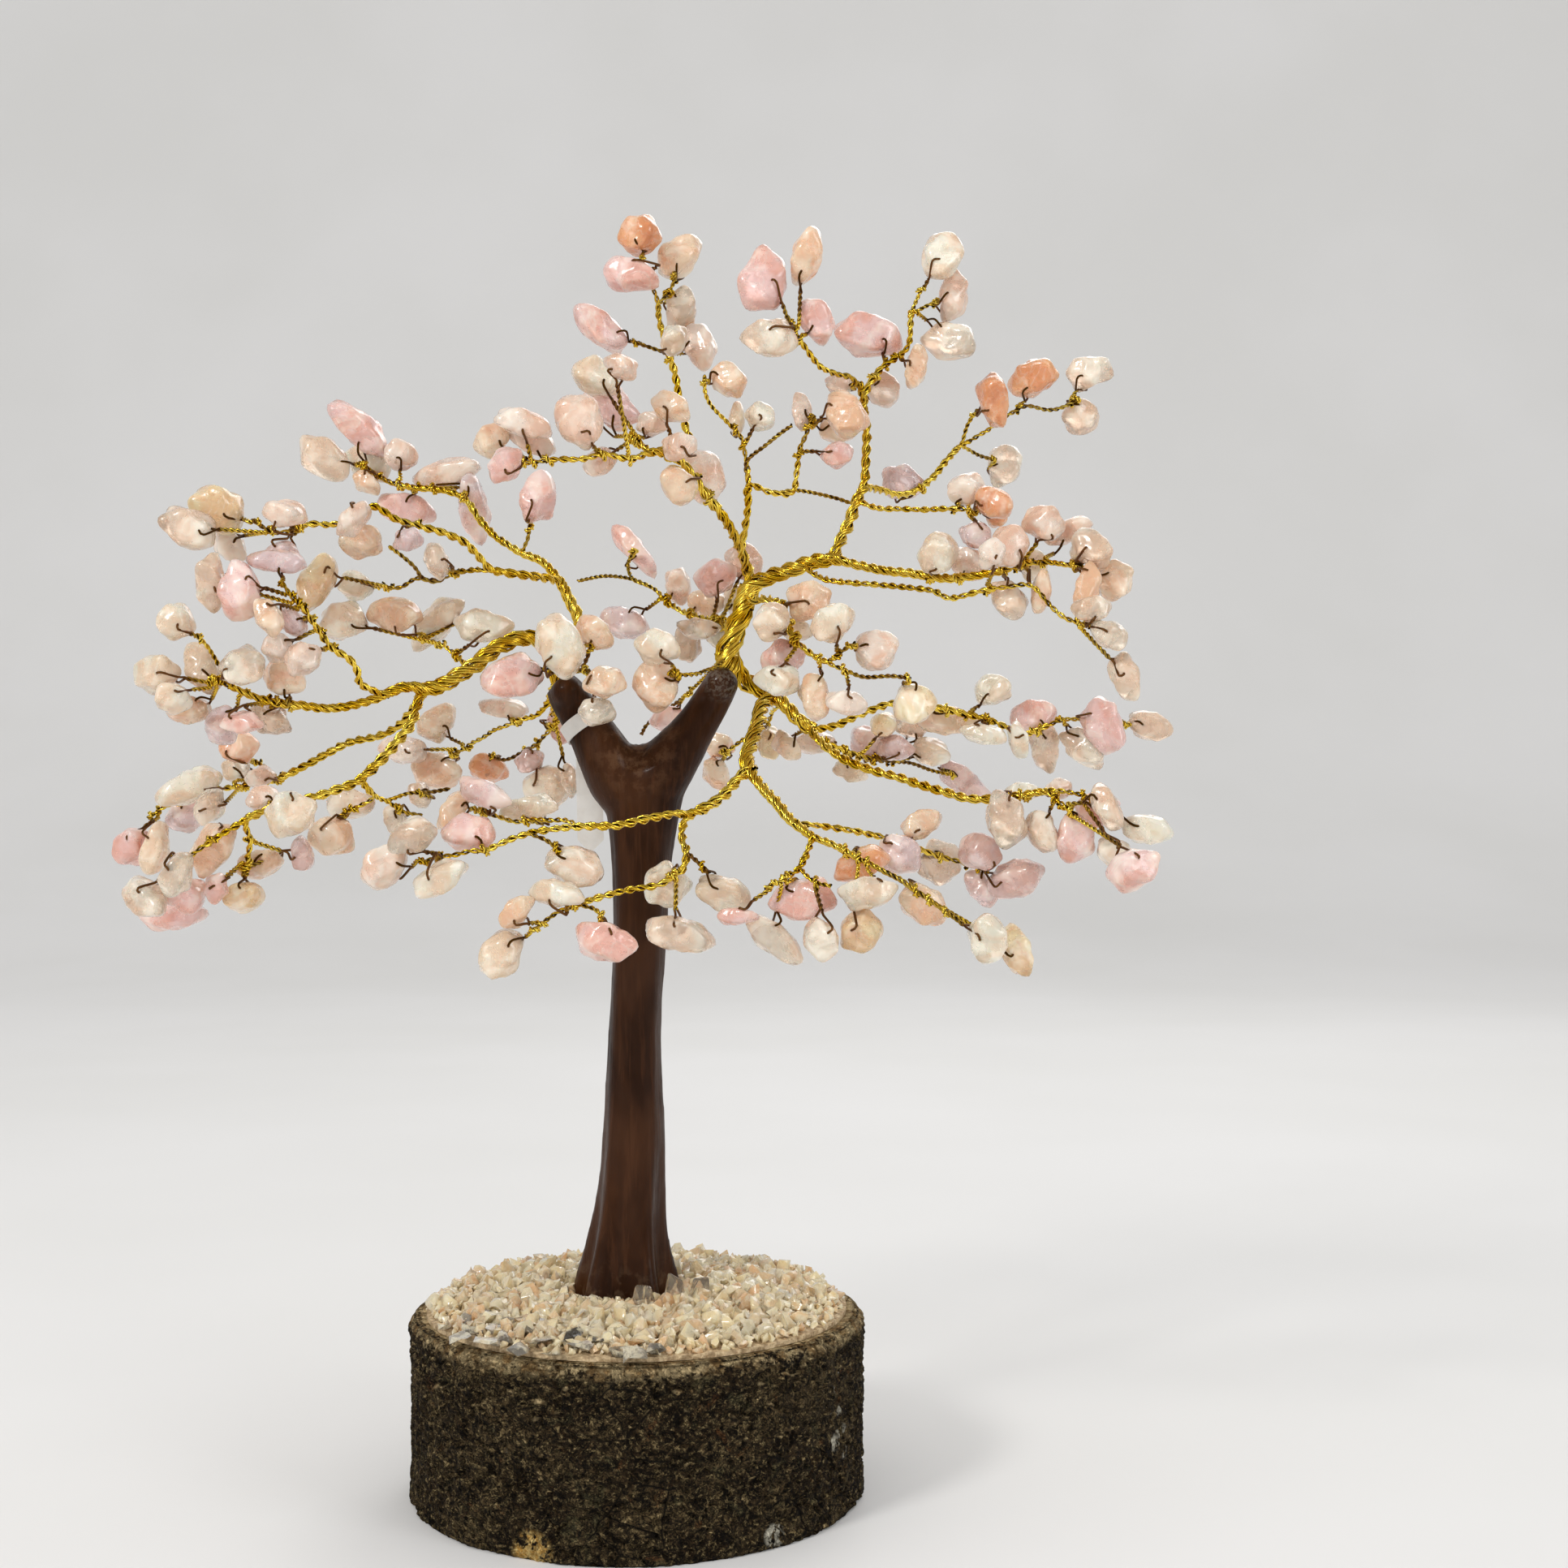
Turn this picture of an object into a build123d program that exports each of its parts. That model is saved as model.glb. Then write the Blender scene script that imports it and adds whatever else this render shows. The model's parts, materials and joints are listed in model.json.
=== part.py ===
from build123d import *
import os
from math import cos, pi, radians, sin, sqrt

import numpy as np

# Gemstone tree ornament, in millimetres. Z is up, and the origin is the middle of the log's flat
# underside. A slice of a branch carries a bed of crushed stone and a moulded trunk with two forks.
# One core of twisted wire stands in the log, runs up through the trunk and leaves both fork tips.
# Above them it divides into limbs, and each limb into twigs: one pair of wires for each drilled chip.

# Log and the bed of crushed stone on it
log_diameter = 84.0
log_height = 34.0
rim_wear = 1.6
socket_diameter = 9.0
socket_depth = 22.0
bed_thickness = 3.2
bed_edge_thickness = 0.8
bed_rim = 3.0
gravel_size = 5.4
gravel_spacing = 8.8
crystal_height = 7.0

# Trunk, from the log's top to the crotch between its forks
trunk_height = 104.8
trunk_width = 10.4
fork_width = 9.0
foot_gap = 0.4

# Wires
wire_diameter = 0.45
core_diameter = 6.4
fork_core_diameter = 4.4
seat = 0.06
stone_clearance = 0.3
hole_clearance = 0.16
wire_end = 0.5
route_slack = 0.3

# Crown and chips
crown_width = 200.0
crown_reach = 90.0
chip_length = 10.0
chip_thickness = 4.6

# Paper label
label_width = 3.0
label_tail_width = 5.0
label_tail_length = 25.0
paper_thickness = 0.3

# The photograph's own measures, in its pixels, that turn a place in it into a place on the tree
lens_px = 966
focal_px = 2698
axis_px = 786
crotch_px = 921
crown_span_px = 1315
chip_span_px = 66

mm_per_px = crown_width / crown_span_px
crotch_height = log_height + trunk_height
pair_radius = wire_diameter
bed_radius = log_diameter / 2 - bed_rim
up = np.array([0.0, 0.0, 1.0])


def seen(across_px, down_px, reach_share):
    """The point of the crown that shows at this pixel, so much of the reach behind the trunk."""
    behind = reach_share * crown_reach
    across = (across_px - axis_px) * mm_per_px + behind * (across_px - lens_px) / focal_px
    rise = (crotch_px - down_px) * mm_per_px + behind * (lens_px - down_px) / focal_px
    return np.array([across, behind, crotch_height + rise])


def unit(vector):
    return vector / np.linalg.norm(vector)


# Limbs. Each has its branches, as points (across px, down px, share of the reach), and its chips,
# as (across px, down px, length px, width px, degrees of its long axis, side of the wire). A branch
# starts on the nearest wire before it. The wire shows on the near side of a chip at side 1.
FORKS = {
    "left": dict(
        route=[(778, 985, 0.0), (752, 944, 0.0), (731, 905, 0.0), (710, 872, 0.01),
               (692, 843, 0.02), (690, 818, 0.03), (702, 796, 0.03)],
        width_shares=(1.1, 1.2, 1.0, 0.86, 0.72)),
    "right": dict(
        route=[(794, 985, 0.0), (818, 948, 0.0), (845, 912, 0.0), (870, 875, 0.0),
               (893, 834, 0.0), (896, 808, 0.0), (905, 780, 0.0), (917, 748, 0.0),
               (924, 722, 0.0)],
        width_shares=(1.1, 1.25, 0.98, 0.8, 0.66)),
}

LIMBS = {
    "right_bough": dict(
        branches=[
            [(897, 806, 0.0), (913, 836, 0.06), (945, 852, 0.05), (965, 866, 0.02),
             (985, 888, 0.0), (1003, 899, 0.0)],
            [(948, 854, 0.05), (938, 872, -0.02), (934, 892, -0.07), (926, 915, -0.12),
             (920, 936, -0.16), (926, 952, -0.19)],
        ],
        chips=[]),
    "right_upper": dict(
        branches=[
            [(924, 722, 0.0), (950, 710, -0.02), (975, 702, -0.04), (1000, 693, -0.05),
             (1025, 689, -0.06), (1060, 697, -0.08), (1090, 703, -0.1), (1120, 706, -0.12),
             (1150, 711, -0.14), (1180, 712, -0.16), (1235, 703, -0.19), (1262, 693, -0.21),
             (1300, 694, -0.23), (1332, 698, -0.25)],
            [(985, 704, -0.05), (1015, 713, -0.12), (1050, 718, -0.17), (1090, 721, -0.2),
             (1120, 724, -0.22), (1150, 728, -0.24), (1172, 737, -0.26), (1215, 727, -0.28),
             (1270, 722, -0.3), (1297, 750, -0.32), (1322, 765, -0.33), (1350, 772, -0.34)],
        ],
        chips=[(1155, 683, 55, 50, 35, -1), (1192, 693, 55, 45, -40, 1), (1245, 670, 62, 50, 70, 1),
               (1222, 680, 42, 34, 80, -1), (1287, 645, 52, 44, -35, -1),
               (1315, 655, 68, 30, 22, 1), (1342, 672, 62, 45, -40, -1), (1275, 695, 40, 38, 0, 1),
               (1374, 712, 60, 48, 85, -1), (1340, 725, 72, 34, 75, 1),
               (1242, 738, 60, 42, -60, -1), (1282, 733, 66, 28, 82, 1),
               (1348, 750, 54, 34, 10, -1), (1370, 783, 56, 36, -20, 1),
               (1386, 834, 64, 36, -75, -1)]),
    "top_left": dict(
        branches=[
            [(922, 718, 0.0), (918, 690, 0.04), (908, 664, 0.08), (886, 628, 0.13),
             (862, 570, 0.18), (846, 530, 0.2), (838, 498, 0.2), (832, 462, 0.19),
             (824, 436, 0.18), (813, 398, 0.17), (810, 372, 0.16), (800, 345, 0.15),
             (790, 318, 0.14)],
            [(825, 437, 0.18), (806, 430, 0.16), (780, 421, 0.15)],
            [(812, 380, 0.17), (826, 358, 0.2), (832, 338, 0.21)],
        ],
        chips=[(788, 289, 56, 52, 0, -1), (773, 337, 82, 44, -15, 1), (838, 314, 72, 48, 50, 1),
               (743, 407, 92, 40, -38, -1), (840, 380, 52, 40, 70, 1), (830, 420, 40, 34, 60, -1),
               (861, 422, 70, 46, -70, 1)]),
    "heart": dict(
        branches=[
            [(920, 700, 0.0), (908, 668, -0.06), (893, 640, -0.12), (876, 618, -0.15),
             (856, 590, -0.17), (838, 568, -0.19), (815, 556, -0.21), (795, 560, -0.23),
             (775, 566, -0.25), (745, 560, -0.27), (715, 566, -0.29), (685, 566, -0.3),
             (655, 570, -0.31), (638, 568, -0.32)],
            [(806, 558, -0.22), (788, 545, -0.2), (768, 534, -0.19)],
        ],
        chips=[(867, 590, 75, 60, -70, 1), (838, 600, 58, 45, -50, -1), (838, 550, 42, 35, 0, 1),
               (802, 522, 38, 32, 0, -1), (824, 500, 60, 38, -25, 1), (715, 520, 75, 62, -60, 1),
               (738, 465, 70, 48, -10, -1), (752, 500, 85, 50, -40, 1), (765, 452, 42, 32, -40, -1),
               (737, 570, 50, 38, 25, -1), (648, 522, 75, 38, -15, 1), (660, 545, 72, 34, -20, -1),
               (607, 542, 48, 40, 30, 1), (622, 573, 50, 38, 50, -1)]),
    "centre_spray": dict(
        branches=[
            [(916, 672, 0.05), (921, 630, 0.02), (922, 594, 0.0), (919, 562, -0.01),
             (912, 538, -0.02), (896, 520, -0.03), (878, 502, -0.04), (869, 484, -0.05),
             (868, 462, -0.06)],
            [(921, 597, 0.0), (950, 607, 0.03), (976, 607, 0.05), (982, 580, 0.05),
             (985, 556, 0.04), (995, 530, 0.03), (1004, 512, 0.03)],
            [(921, 566, -0.01), (943, 549, -0.04), (960, 535, -0.06), (976, 524, -0.08)],
            [(976, 604, 0.05), (1005, 608, 0.08), (1030, 614, 0.1), (1048, 620, 0.11)],
        ],
        chips=[(896, 466, 55, 42, -40, 1), (908, 515, 48, 22, 90, -1), (939, 513, 42, 34, 0, 1),
               (988, 507, 52, 28, 100, 1), (1042, 510, 70, 50, -70, -1), (1030, 528, 58, 40, 0, 1),
               (1034, 560, 45, 36, 20, -1)]),
    "top_right": dict(
        branches=[
            [(1027, 688, -0.06), (1036, 666, -0.03), (1046, 646, 0.0), (1055, 620, 0.02),
             (1065, 598, 0.04), (1067, 562, 0.06), (1068, 530, 0.08), (1064, 500, 0.09),
             (1071, 474, 0.1), (1088, 452, 0.11), (1106, 440, 0.12), (1120, 424, 0.13),
             (1124, 386, 0.14), (1136, 354, 0.15)],
            [(1064, 498, 0.09), (1052, 468, 0.03), (1030, 461, 0.0), (1012, 453, -0.03),
             (999, 438, -0.05), (985, 418, -0.07), (970, 390, -0.09)],
            [(1124, 388, 0.14), (1140, 378, 0.16), (1156, 372, 0.17)],
        ],
        chips=[(1163, 312, 75, 52, 65, 1), (1175, 364, 68, 38, 80, -1), (1170, 420, 75, 48, -15, 1),
               (1128, 454, 60, 30, 78, -1), (1073, 413, 90, 56, -5, 1), (1090, 480, 50, 46, 0, -1),
               (941, 345, 88, 62, 75, 1), (948, 416, 75, 50, -15, -1), (992, 320, 80, 42, 72, -1),
               (1007, 396, 62, 44, -60, 1), (1036, 473, 42, 26, 0, -1)]),
    "right_far": dict(
        branches=[
            [(1064, 600, 0.04), (1085, 604, 0.12), (1108, 610, 0.18), (1130, 604, 0.22),
             (1150, 588, 0.25), (1166, 568, 0.27), (1182, 551, 0.29), (1208, 536, 0.31),
             (1238, 514, 0.33), (1264, 501, 0.35), (1300, 505, 0.37), (1330, 490, 0.39)],
            [(1057, 618, 0.02), (1082, 626, -0.02), (1110, 627, -0.04), (1136, 628, -0.05),
             (1160, 627, -0.06), (1185, 627, -0.07), (1202, 632, -0.08)],
            [(1186, 550, 0.29), (1192, 524, 0.27), (1204, 505, 0.26)],
            [(1186, 551, 0.29), (1208, 562, 0.33), (1228, 567, 0.35)],
        ],
        chips=[(1224, 493, 70, 38, -80, 1), (1272, 466, 68, 46, 20, 1), (1338, 458, 64, 42, 5, -1),
               (1333, 513, 50, 46, 0, 1), (1238, 570, 64, 48, 80, -1), (1112, 595, 52, 44, -30, 1),
               (1190, 603, 50, 42, 0, -1), (1222, 618, 58, 42, -30, 1), (1228, 633, 36, 30, 90, -1),
               (1205, 660, 45, 36, 0, 1)]),
    "centre_right": dict(
        branches=[
            [(918, 745, 0.0), (938, 738, -0.07), (958, 742, -0.12), (968, 760, -0.16),
             (978, 785, -0.19), (1000, 806, -0.22), (1020, 816, -0.24), (1042, 826, -0.26),
             (1065, 834, -0.28), (1100, 833, -0.3), (1122, 836, -0.31)],
            [(1018, 815, -0.24), (1036, 803, -0.26), (1054, 792, -0.28)],
        ],
        chips=[(998, 740, 54, 52, 0, 1), (950, 767, 50, 44, 60, 1), (980, 777, 44, 30, 0, -1),
               (1028, 765, 64, 46, 40, -1), (1081, 798, 62, 58, 70, -1), (965, 812, 54, 48, 0, 1),
               (958, 838, 56, 40, -20, -1), (1004, 855, 72, 42, -80, 1),
               (1046, 866, 58, 34, -10, -1), (1128, 865, 60, 54, 50, 1)]),
    "right_middle": dict(
        branches=[
            [(1003, 899, 0.0), (1028, 895, 0.03), (1052, 884, 0.05), (1076, 874, 0.07),
             (1102, 867, 0.09), (1140, 870, 0.11), (1180, 878, 0.13), (1214, 886, 0.14),
             (1240, 896, 0.15), (1266, 904, 0.16), (1300, 890, 0.17), (1325, 886, 0.18),
             (1360, 889, 0.19), (1392, 893, 0.2)],
        ],
        chips=[(1166, 887, 86, 40, -8, -1), (1212, 904, 64, 26, -15, -1),
               (1221, 849, 54, 42, -5, 1), (1275, 882, 68, 46, 10, 1), (1256, 915, 56, 26, -75, -1),
               (1286, 917, 74, 38, -85, 1), (1334, 920, 68, 40, -45, 1),
               (1358, 888, 84, 56, -70, 1), (1420, 895, 64, 40, -15, -1)]),
    "right_back": dict(
        branches=[
            [(990, 892, 0.0), (1004, 908, 0.1), (1030, 922, 0.17), (1060, 932, 0.22),
             (1090, 938, 0.26), (1120, 940, 0.3), (1150, 950, 0.33), (1178, 956, 0.36)],
            [(960, 862, 0.03), (950, 880, 0.12), (940, 900, 0.18), (915, 912, 0.22),
             (890, 930, 0.24)],
        ],
        chips=[(950, 918, 46, 34, -80, -1), (970, 920, 44, 30, -50, 1), (1003, 915, 66, 30, 0, -1),
               (884, 918, 42, 36, 0, 1), (884, 955, 46, 34, -60, 1), (1070, 917, 54, 44, -45, 1),
               (1103, 922, 44, 32, -25, -1), (1048, 950, 48, 26, -20, -1),
               (1144, 925, 58, 38, -15, 1), (1090, 893, 36, 34, 0, -1), (1125, 895, 50, 30, 0, -1),
               (1187, 962, 90, 34, -35, 1)]),
    "right_low": dict(
        branches=[
            [(996, 896, 0.0), (1008, 910, -0.05), (1026, 926, -0.09), (1046, 938, -0.12),
             (1075, 949, -0.15), (1105, 957, -0.18), (1135, 967, -0.21), (1165, 976, -0.24),
             (1195, 984, -0.27), (1225, 984, -0.29), (1260, 980, -0.31), (1290, 975, -0.33),
             (1325, 977, -0.35), (1352, 990, -0.36)],
            [(1290, 975, -0.33), (1308, 990, -0.37), (1324, 1003, -0.39)],
        ],
        chips=[(1240, 1008, 74, 50, -80, 1), (1282, 1020, 64, 42, -70, 1),
               (1262, 975, 48, 24, 0, -1), (1307, 972, 36, 28, 0, -1), (1325, 1032, 64, 52, 90, 1),
               (1350, 998, 60, 46, 20, 1), (1362, 990, 72, 36, -65, -1),
               (1416, 1022, 74, 40, -8, -1), (1375, 1052, 56, 38, -30, 1),
               (1397, 1070, 66, 52, 20, -1)]),
    "front_right": dict(
        branches=[
            [(926, 952, -0.19), (941, 972, -0.23), (956, 988, -0.26), (972, 1008, -0.29),
             (986, 1019, -0.31), (1002, 1031, -0.33), (1025, 1040, -0.35), (1045, 1050, -0.37),
             (1070, 1064, -0.39), (1095, 1076, -0.41), (1118, 1090, -0.43), (1150, 1112, -0.45),
             (1178, 1132, -0.47)],
            [(980, 1014, -0.3), (1012, 1018, -0.27), (1045, 1023, -0.25), (1080, 1030, -0.23),
             (1120, 1042, -0.22), (1160, 1056, -0.21), (1196, 1066, -0.2), (1216, 1070, -0.2)],
            [(1001, 1030, -0.33), (995, 1050, -0.36), (986, 1068, -0.38), (966, 1084, -0.4),
             (942, 1094, -0.41)],
            [(986, 1068, -0.38), (1004, 1086, -0.42), (1024, 1092, -0.44)],
        ],
        chips=[(1060, 1065, 76, 42, 20, 1), (1105, 1052, 66, 56, -10, -1),
               (1138, 1013, 58, 36, 25, -1), (1160, 1064, 64, 60, -50, 1),
               (1208, 1050, 52, 46, -35, 1), (1208, 1093, 58, 34, -60, -1),
               (1248, 1084, 84, 50, 25, 1), (1140, 1116, 74, 50, -35, 1),
               (1218, 1160, 74, 52, -80, -1), (1252, 1172, 70, 42, -70, 1),
               (988, 1108, 88, 56, 0, 1), (905, 1128, 62, 24, 0, -1), (958, 1160, 104, 40, -40, 1),
               (1013, 1160, 64, 46, -65, 1), (1070, 1100, 76, 40, 0, 1),
               (1060, 1148, 60, 54, 20, -1)]),
    "front_low": dict(
        branches=[
            [(924, 946, -0.18), (907, 963, -0.22), (892, 980, -0.25), (872, 994, -0.28),
             (852, 1003, -0.3), (842, 1016, -0.32), (841, 1034, -0.34), (846, 1050, -0.36),
             (840, 1072, -0.37), (812, 1090, -0.38), (782, 1095, -0.39), (752, 1102, -0.4),
             (722, 1111, -0.41), (696, 1120, -0.42), (674, 1133, -0.43), (656, 1148, -0.44)],
            [(845, 1046, -0.36), (860, 1062, -0.38), (874, 1076, -0.39)],
            [(716, 1112, -0.41), (734, 1121, -0.44), (744, 1134, -0.45)],
        ],
        chips=[(818, 1092, 66, 64, 20, 1), (840, 1152, 96, 46, -12, 1), (896, 1104, 84, 48, -25, 1),
               (746, 1160, 78, 52, -15, 1), (685, 1100, 72, 36, -10, 1),
               (633, 1126, 62, 34, 45, -1), (618, 1173, 72, 54, 60, -1)]),
    "front_left": dict(
        branches=[
            [(854, 1002, -0.3), (830, 1003, -0.33), (800, 1008, -0.35), (760, 1017, -0.37),
             (720, 1018, -0.38), (686, 1021, -0.39), (655, 1026, -0.4), (625, 1036, -0.41),
             (600, 1047, -0.42), (575, 1050, -0.43), (545, 1056, -0.44), (516, 1063, -0.45)],
            [(722, 1018, -0.38), (694, 1011, -0.35), (664, 1010, -0.33), (636, 1012, -0.32),
             (606, 1004, -0.31), (584, 995, -0.3)],
            [(656, 1026, -0.4), (674, 1036, -0.42), (690, 1048, -0.43)],
        ],
        chips=[(582, 1026, 76, 50, 5, 1), (475, 1066, 70, 48, 40, -1), (508, 1030, 66, 44, 20, 1),
               (538, 1084, 88, 42, 28, 1), (712, 1068, 80, 54, -20, 1), (561, 995, 66, 32, 60, -1),
               (598, 978, 72, 36, -25, 1), (650, 997, 80, 36, 10, 1)]),
    "front_centre": dict(
        branches=[
            [(896, 812, 0.0), (882, 822, -0.07), (866, 828, -0.12), (846, 832, -0.16),
             (826, 830, -0.19)],
        ],
        chips=[(808, 840, 76, 62, -70, 1), (812, 796, 58, 46, 0, 1)]),
    "back_crown": dict(
        branches=[
            [(906, 778, 0.0), (888, 768, 0.08), (862, 760, 0.14), (838, 752, 0.19),
             (820, 738, 0.23), (800, 722, 0.26), (772, 712, 0.29), (742, 710, 0.32),
             (712, 716, 0.35)],
            [(782, 714, 0.28), (774, 696, 0.32), (782, 676, 0.35)],
            [(900, 800, 0.0), (874, 828, 0.16), (838, 862, 0.28), (800, 890, 0.36),
             (790, 905, 0.38)],
        ],
        chips=[(920, 693, 58, 48, -20, 1), (882, 712, 50, 45, 0, 1), (836, 722, 50, 34, 90, 1),
               (868, 742, 56, 40, 0, 1), (911, 739, 40, 44, 0, 1), (847, 795, 56, 34, -75, -1),
               (862, 775, 54, 28, -5, 1), (888, 785, 36, 30, 0, 1), (778, 672, 95, 30, -50, 1),
               (772, 768, 72, 40, -12, 1), (825, 884, 54, 30, 15, -1)]),
    "left_upper": dict(
        branches=[
            [(698, 800, 0.03), (712, 782, 0.05), (712, 760, 0.06), (702, 740, 0.07),
             (688, 714, 0.08), (668, 692, 0.1), (642, 681, 0.12), (615, 664, 0.14),
             (595, 645, 0.16), (572, 614, 0.18), (545, 604, 0.2), (505, 600, 0.22),
             (472, 590, 0.24), (442, 570, 0.25)],
            [(645, 682, 0.12), (650, 664, 0.1), (653, 646, 0.09)],
        ],
        chips=[(664, 612, 74, 45, 75, 1), (584, 628, 97, 40, 95, -1), (545, 585, 105, 40, 14, -1),
               (503, 628, 78, 44, -12, 1), (445, 530, 100, 42, -43, 1), (400, 565, 80, 50, -35, -1),
               (455, 568, 68, 52, -35, -1), (450, 593, 45, 26, -35, 1), (495, 560, 45, 40, 0, -1)]),
    "left_crest": dict(
        branches=[
            [(690, 717, 0.08), (668, 712, 0.02), (640, 708, -0.02), (606, 702, -0.05),
             (590, 686, -0.07), (572, 668, -0.09), (545, 656, -0.11), (515, 648, -0.13),
             (488, 640, -0.15), (462, 624, -0.16), (440, 632, -0.17), (412, 646, -0.18),
             (380, 646, -0.2), (342, 657, -0.22), (310, 640, -0.24)],
        ],
        chips=[(447, 665, 60, 46, 10, -1), (437, 640, 55, 28, 45, 1), (503, 665, 36, 30, 0, 1),
               (348, 632, 64, 38, -10, -1), (270, 630, 75, 65, -35, 1), (236, 652, 75, 50, -30, -1),
               (284, 673, 50, 38, -45, -1), (348, 682, 45, 32, 0, -1)]),
    "left_shoulder": dict(
        branches=[
            [(610, 703, -0.05), (586, 702, -0.02), (560, 706, 0.0), (538, 716, 0.01),
             (514, 713, 0.02), (490, 724, 0.03), (462, 720, 0.04)],
            [(522, 714, 0.02), (510, 698, -0.01), (494, 684, -0.02), (479, 673, -0.03)],
        ],
        chips=[(538, 688, 55, 32, -70, -1), (440, 722, 45, 40, 0, 1), (393, 712, 90, 42, 70, 1)]),
    "left_bough": dict(
        branches=[
            [(696, 806, 0.03), (672, 792, 0.0), (645, 786, -0.03), (614, 797, -0.05),
             (590, 816, -0.07), (566, 832, -0.09), (546, 844, -0.1), (525, 849, -0.11),
             (502, 846, -0.13), (482, 852, -0.14), (460, 862, -0.15), (430, 870, -0.17),
             (400, 873, -0.19), (370, 869, -0.21), (340, 866, -0.22), (312, 858, -0.23),
             (285, 846, -0.24), (256, 836, -0.25)],
            [(578, 822, -0.08), (562, 806, -0.02), (544, 794, 0.02), (520, 786, 0.05)],
            [(288, 848, -0.24), (272, 824, -0.27), (258, 800, -0.29), (242, 782, -0.3)],
        ],
        chips=[(595, 772, 80, 40, -10, -1), (537, 768, 96, 42, 40, -1), (482, 757, 80, 48, -3, 1),
               (425, 765, 58, 52, 0, -1), (302, 820, 62, 50, 20, -1), (352, 832, 56, 56, -50, 1),
               (250, 822, 78, 46, -65, 1), (190, 830, 64, 50, 20, 1), (215, 860, 45, 40, 0, -1),
               (236, 874, 62, 36, 10, 1), (275, 893, 48, 42, 60, 1), (297, 890, 62, 28, -5, -1),
               (330, 884, 66, 40, -25, 1), (216, 764, 50, 46, 90, -1)]),
    "left_middle": dict(
        branches=[
            [(476, 855, -0.14), (458, 850, -0.17), (443, 842, -0.19), (440, 826, -0.21),
             (430, 812, -0.22), (408, 798, -0.24), (392, 776, -0.26), (376, 752, -0.27),
             (360, 735, -0.28), (346, 716, -0.29)],
        ],
        chips=[(345, 692, 82, 30, -3, 1), (296, 728, 80, 50, 90, 1), (260, 718, 76, 40, 90, -1),
               (330, 757, 60, 36, -60, 1), (362, 768, 45, 32, -50, -1), (345, 798, 45, 38, 0, 1),
               (373, 812, 45, 38, 0, -1)]),
    "left_low": dict(
        branches=[
            [(522, 850, -0.11), (508, 874, -0.08), (488, 896, -0.05), (465, 907, -0.03),
             (432, 914, 0.0), (405, 927, 0.02), (380, 941, 0.04), (352, 955, 0.06),
             (325, 964, 0.08), (298, 968, 0.09), (270, 972, 0.1), (245, 973, 0.11),
             (222, 984, 0.12), (200, 996, 0.13), (182, 1008, 0.14)],
            [(342, 960, 0.07), (328, 946, 0.1), (312, 936, 0.12)],
        ],
        chips=[(292, 918, 52, 44, -50, -1), (290, 947, 40, 34, -40, 1), (322, 957, 40, 26, 20, -1),
               (238, 968, 90, 42, 25, -1), (234, 1002, 62, 42, 35, 1), (258, 994, 48, 34, 60, 1),
               (160, 1045, 62, 44, 50, 1), (192, 1044, 72, 34, 78, 1)]),
    "left_front": dict(
        branches=[
            [(516, 858, -0.11), (508, 890, -0.16), (488, 916, -0.2), (466, 940, -0.23),
             (442, 962, -0.26), (410, 975, -0.29), (380, 984, -0.31), (345, 992, -0.33),
             (315, 1004, -0.35), (290, 1018, -0.37), (264, 1034, -0.38), (238, 1052, -0.39),
             (206, 1072, -0.4)],
            [(444, 960, -0.26), (460, 980, -0.22), (478, 988, -0.19), (496, 1000, -0.17),
             (520, 1005, -0.15)],
            [(476, 987, -0.19), (502, 978, -0.15), (530, 976, -0.12), (554, 972, -0.1)],
            [(460, 982, -0.22), (440, 994, -0.2), (420, 1004, -0.19)],
            [(302, 1012, -0.36), (308, 1036, -0.33), (304, 1060, -0.31), (300, 1080, -0.3)],
        ],
        chips=[(326, 982, 46, 34, 30, -1), (359, 1003, 64, 56, 0, 1), (262, 1046, 80, 50, 50, 1),
               (178, 1104, 76, 46, -35, 1), (219, 1076, 62, 38, 70, 1),
               (232, 1104, 54, 46, -20, -1), (215, 1128, 88, 40, 5, -1),
               (266, 1094, 40, 28, 80, -1), (317, 1064, 74, 40, 15, 1), (302, 1104, 52, 40, 15, -1),
               (373, 1055, 52, 28, -80, -1), (432, 990, 62, 38, -10, -1),
               (408, 1030, 62, 50, -20, 1), (517, 978, 42, 30, -60, -1),
               (488, 1012, 46, 30, -70, -1)]),
    "left_back": dict(
        branches=[
            [(689, 824, 0.03), (676, 862, 0.12), (662, 880, 0.16), (640, 887, 0.19),
             (615, 897, 0.22), (595, 908, 0.25), (575, 920, 0.28), (556, 930, 0.3)],
            [(678, 858, 0.12), (684, 886, 0.2), (668, 910, 0.24), (645, 926, 0.27),
             (622, 936, 0.29), (602, 930, 0.31)],
        ],
        chips=[(625, 873, 68, 26, -5, 1), (540, 890, 58, 42, 45, 1), (497, 924, 66, 36, -10, -1),
               (535, 948, 74, 54, -15, 1), (604, 947, 54, 38, -10, 1), (690, 897, 54, 30, -65, -1),
               (653, 937, 36, 28, 0, -1), (672, 972, 66, 56, 10, 1), (702, 958, 50, 24, -80, -1)]),
    "crotch_front": dict(
        branches=[
            [(690, 822, 0.03), (704, 826, -0.07), (722, 826, -0.13), (742, 832, -0.17),
             (758, 838, -0.19)],
            [(706, 826, -0.08), (690, 824, -0.14), (674, 822, -0.17)],
            [(716, 826, -0.11), (724, 808, -0.14), (728, 795, -0.15)],
        ],
        chips=[(691, 799, 84, 58, -70, 1), (636, 833, 86, 56, 12, 1), (733, 780, 54, 40, -40, 1),
               (745, 840, 54, 40, 0, 1), (733, 876, 52, 38, 0, -1)]),
}

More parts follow.
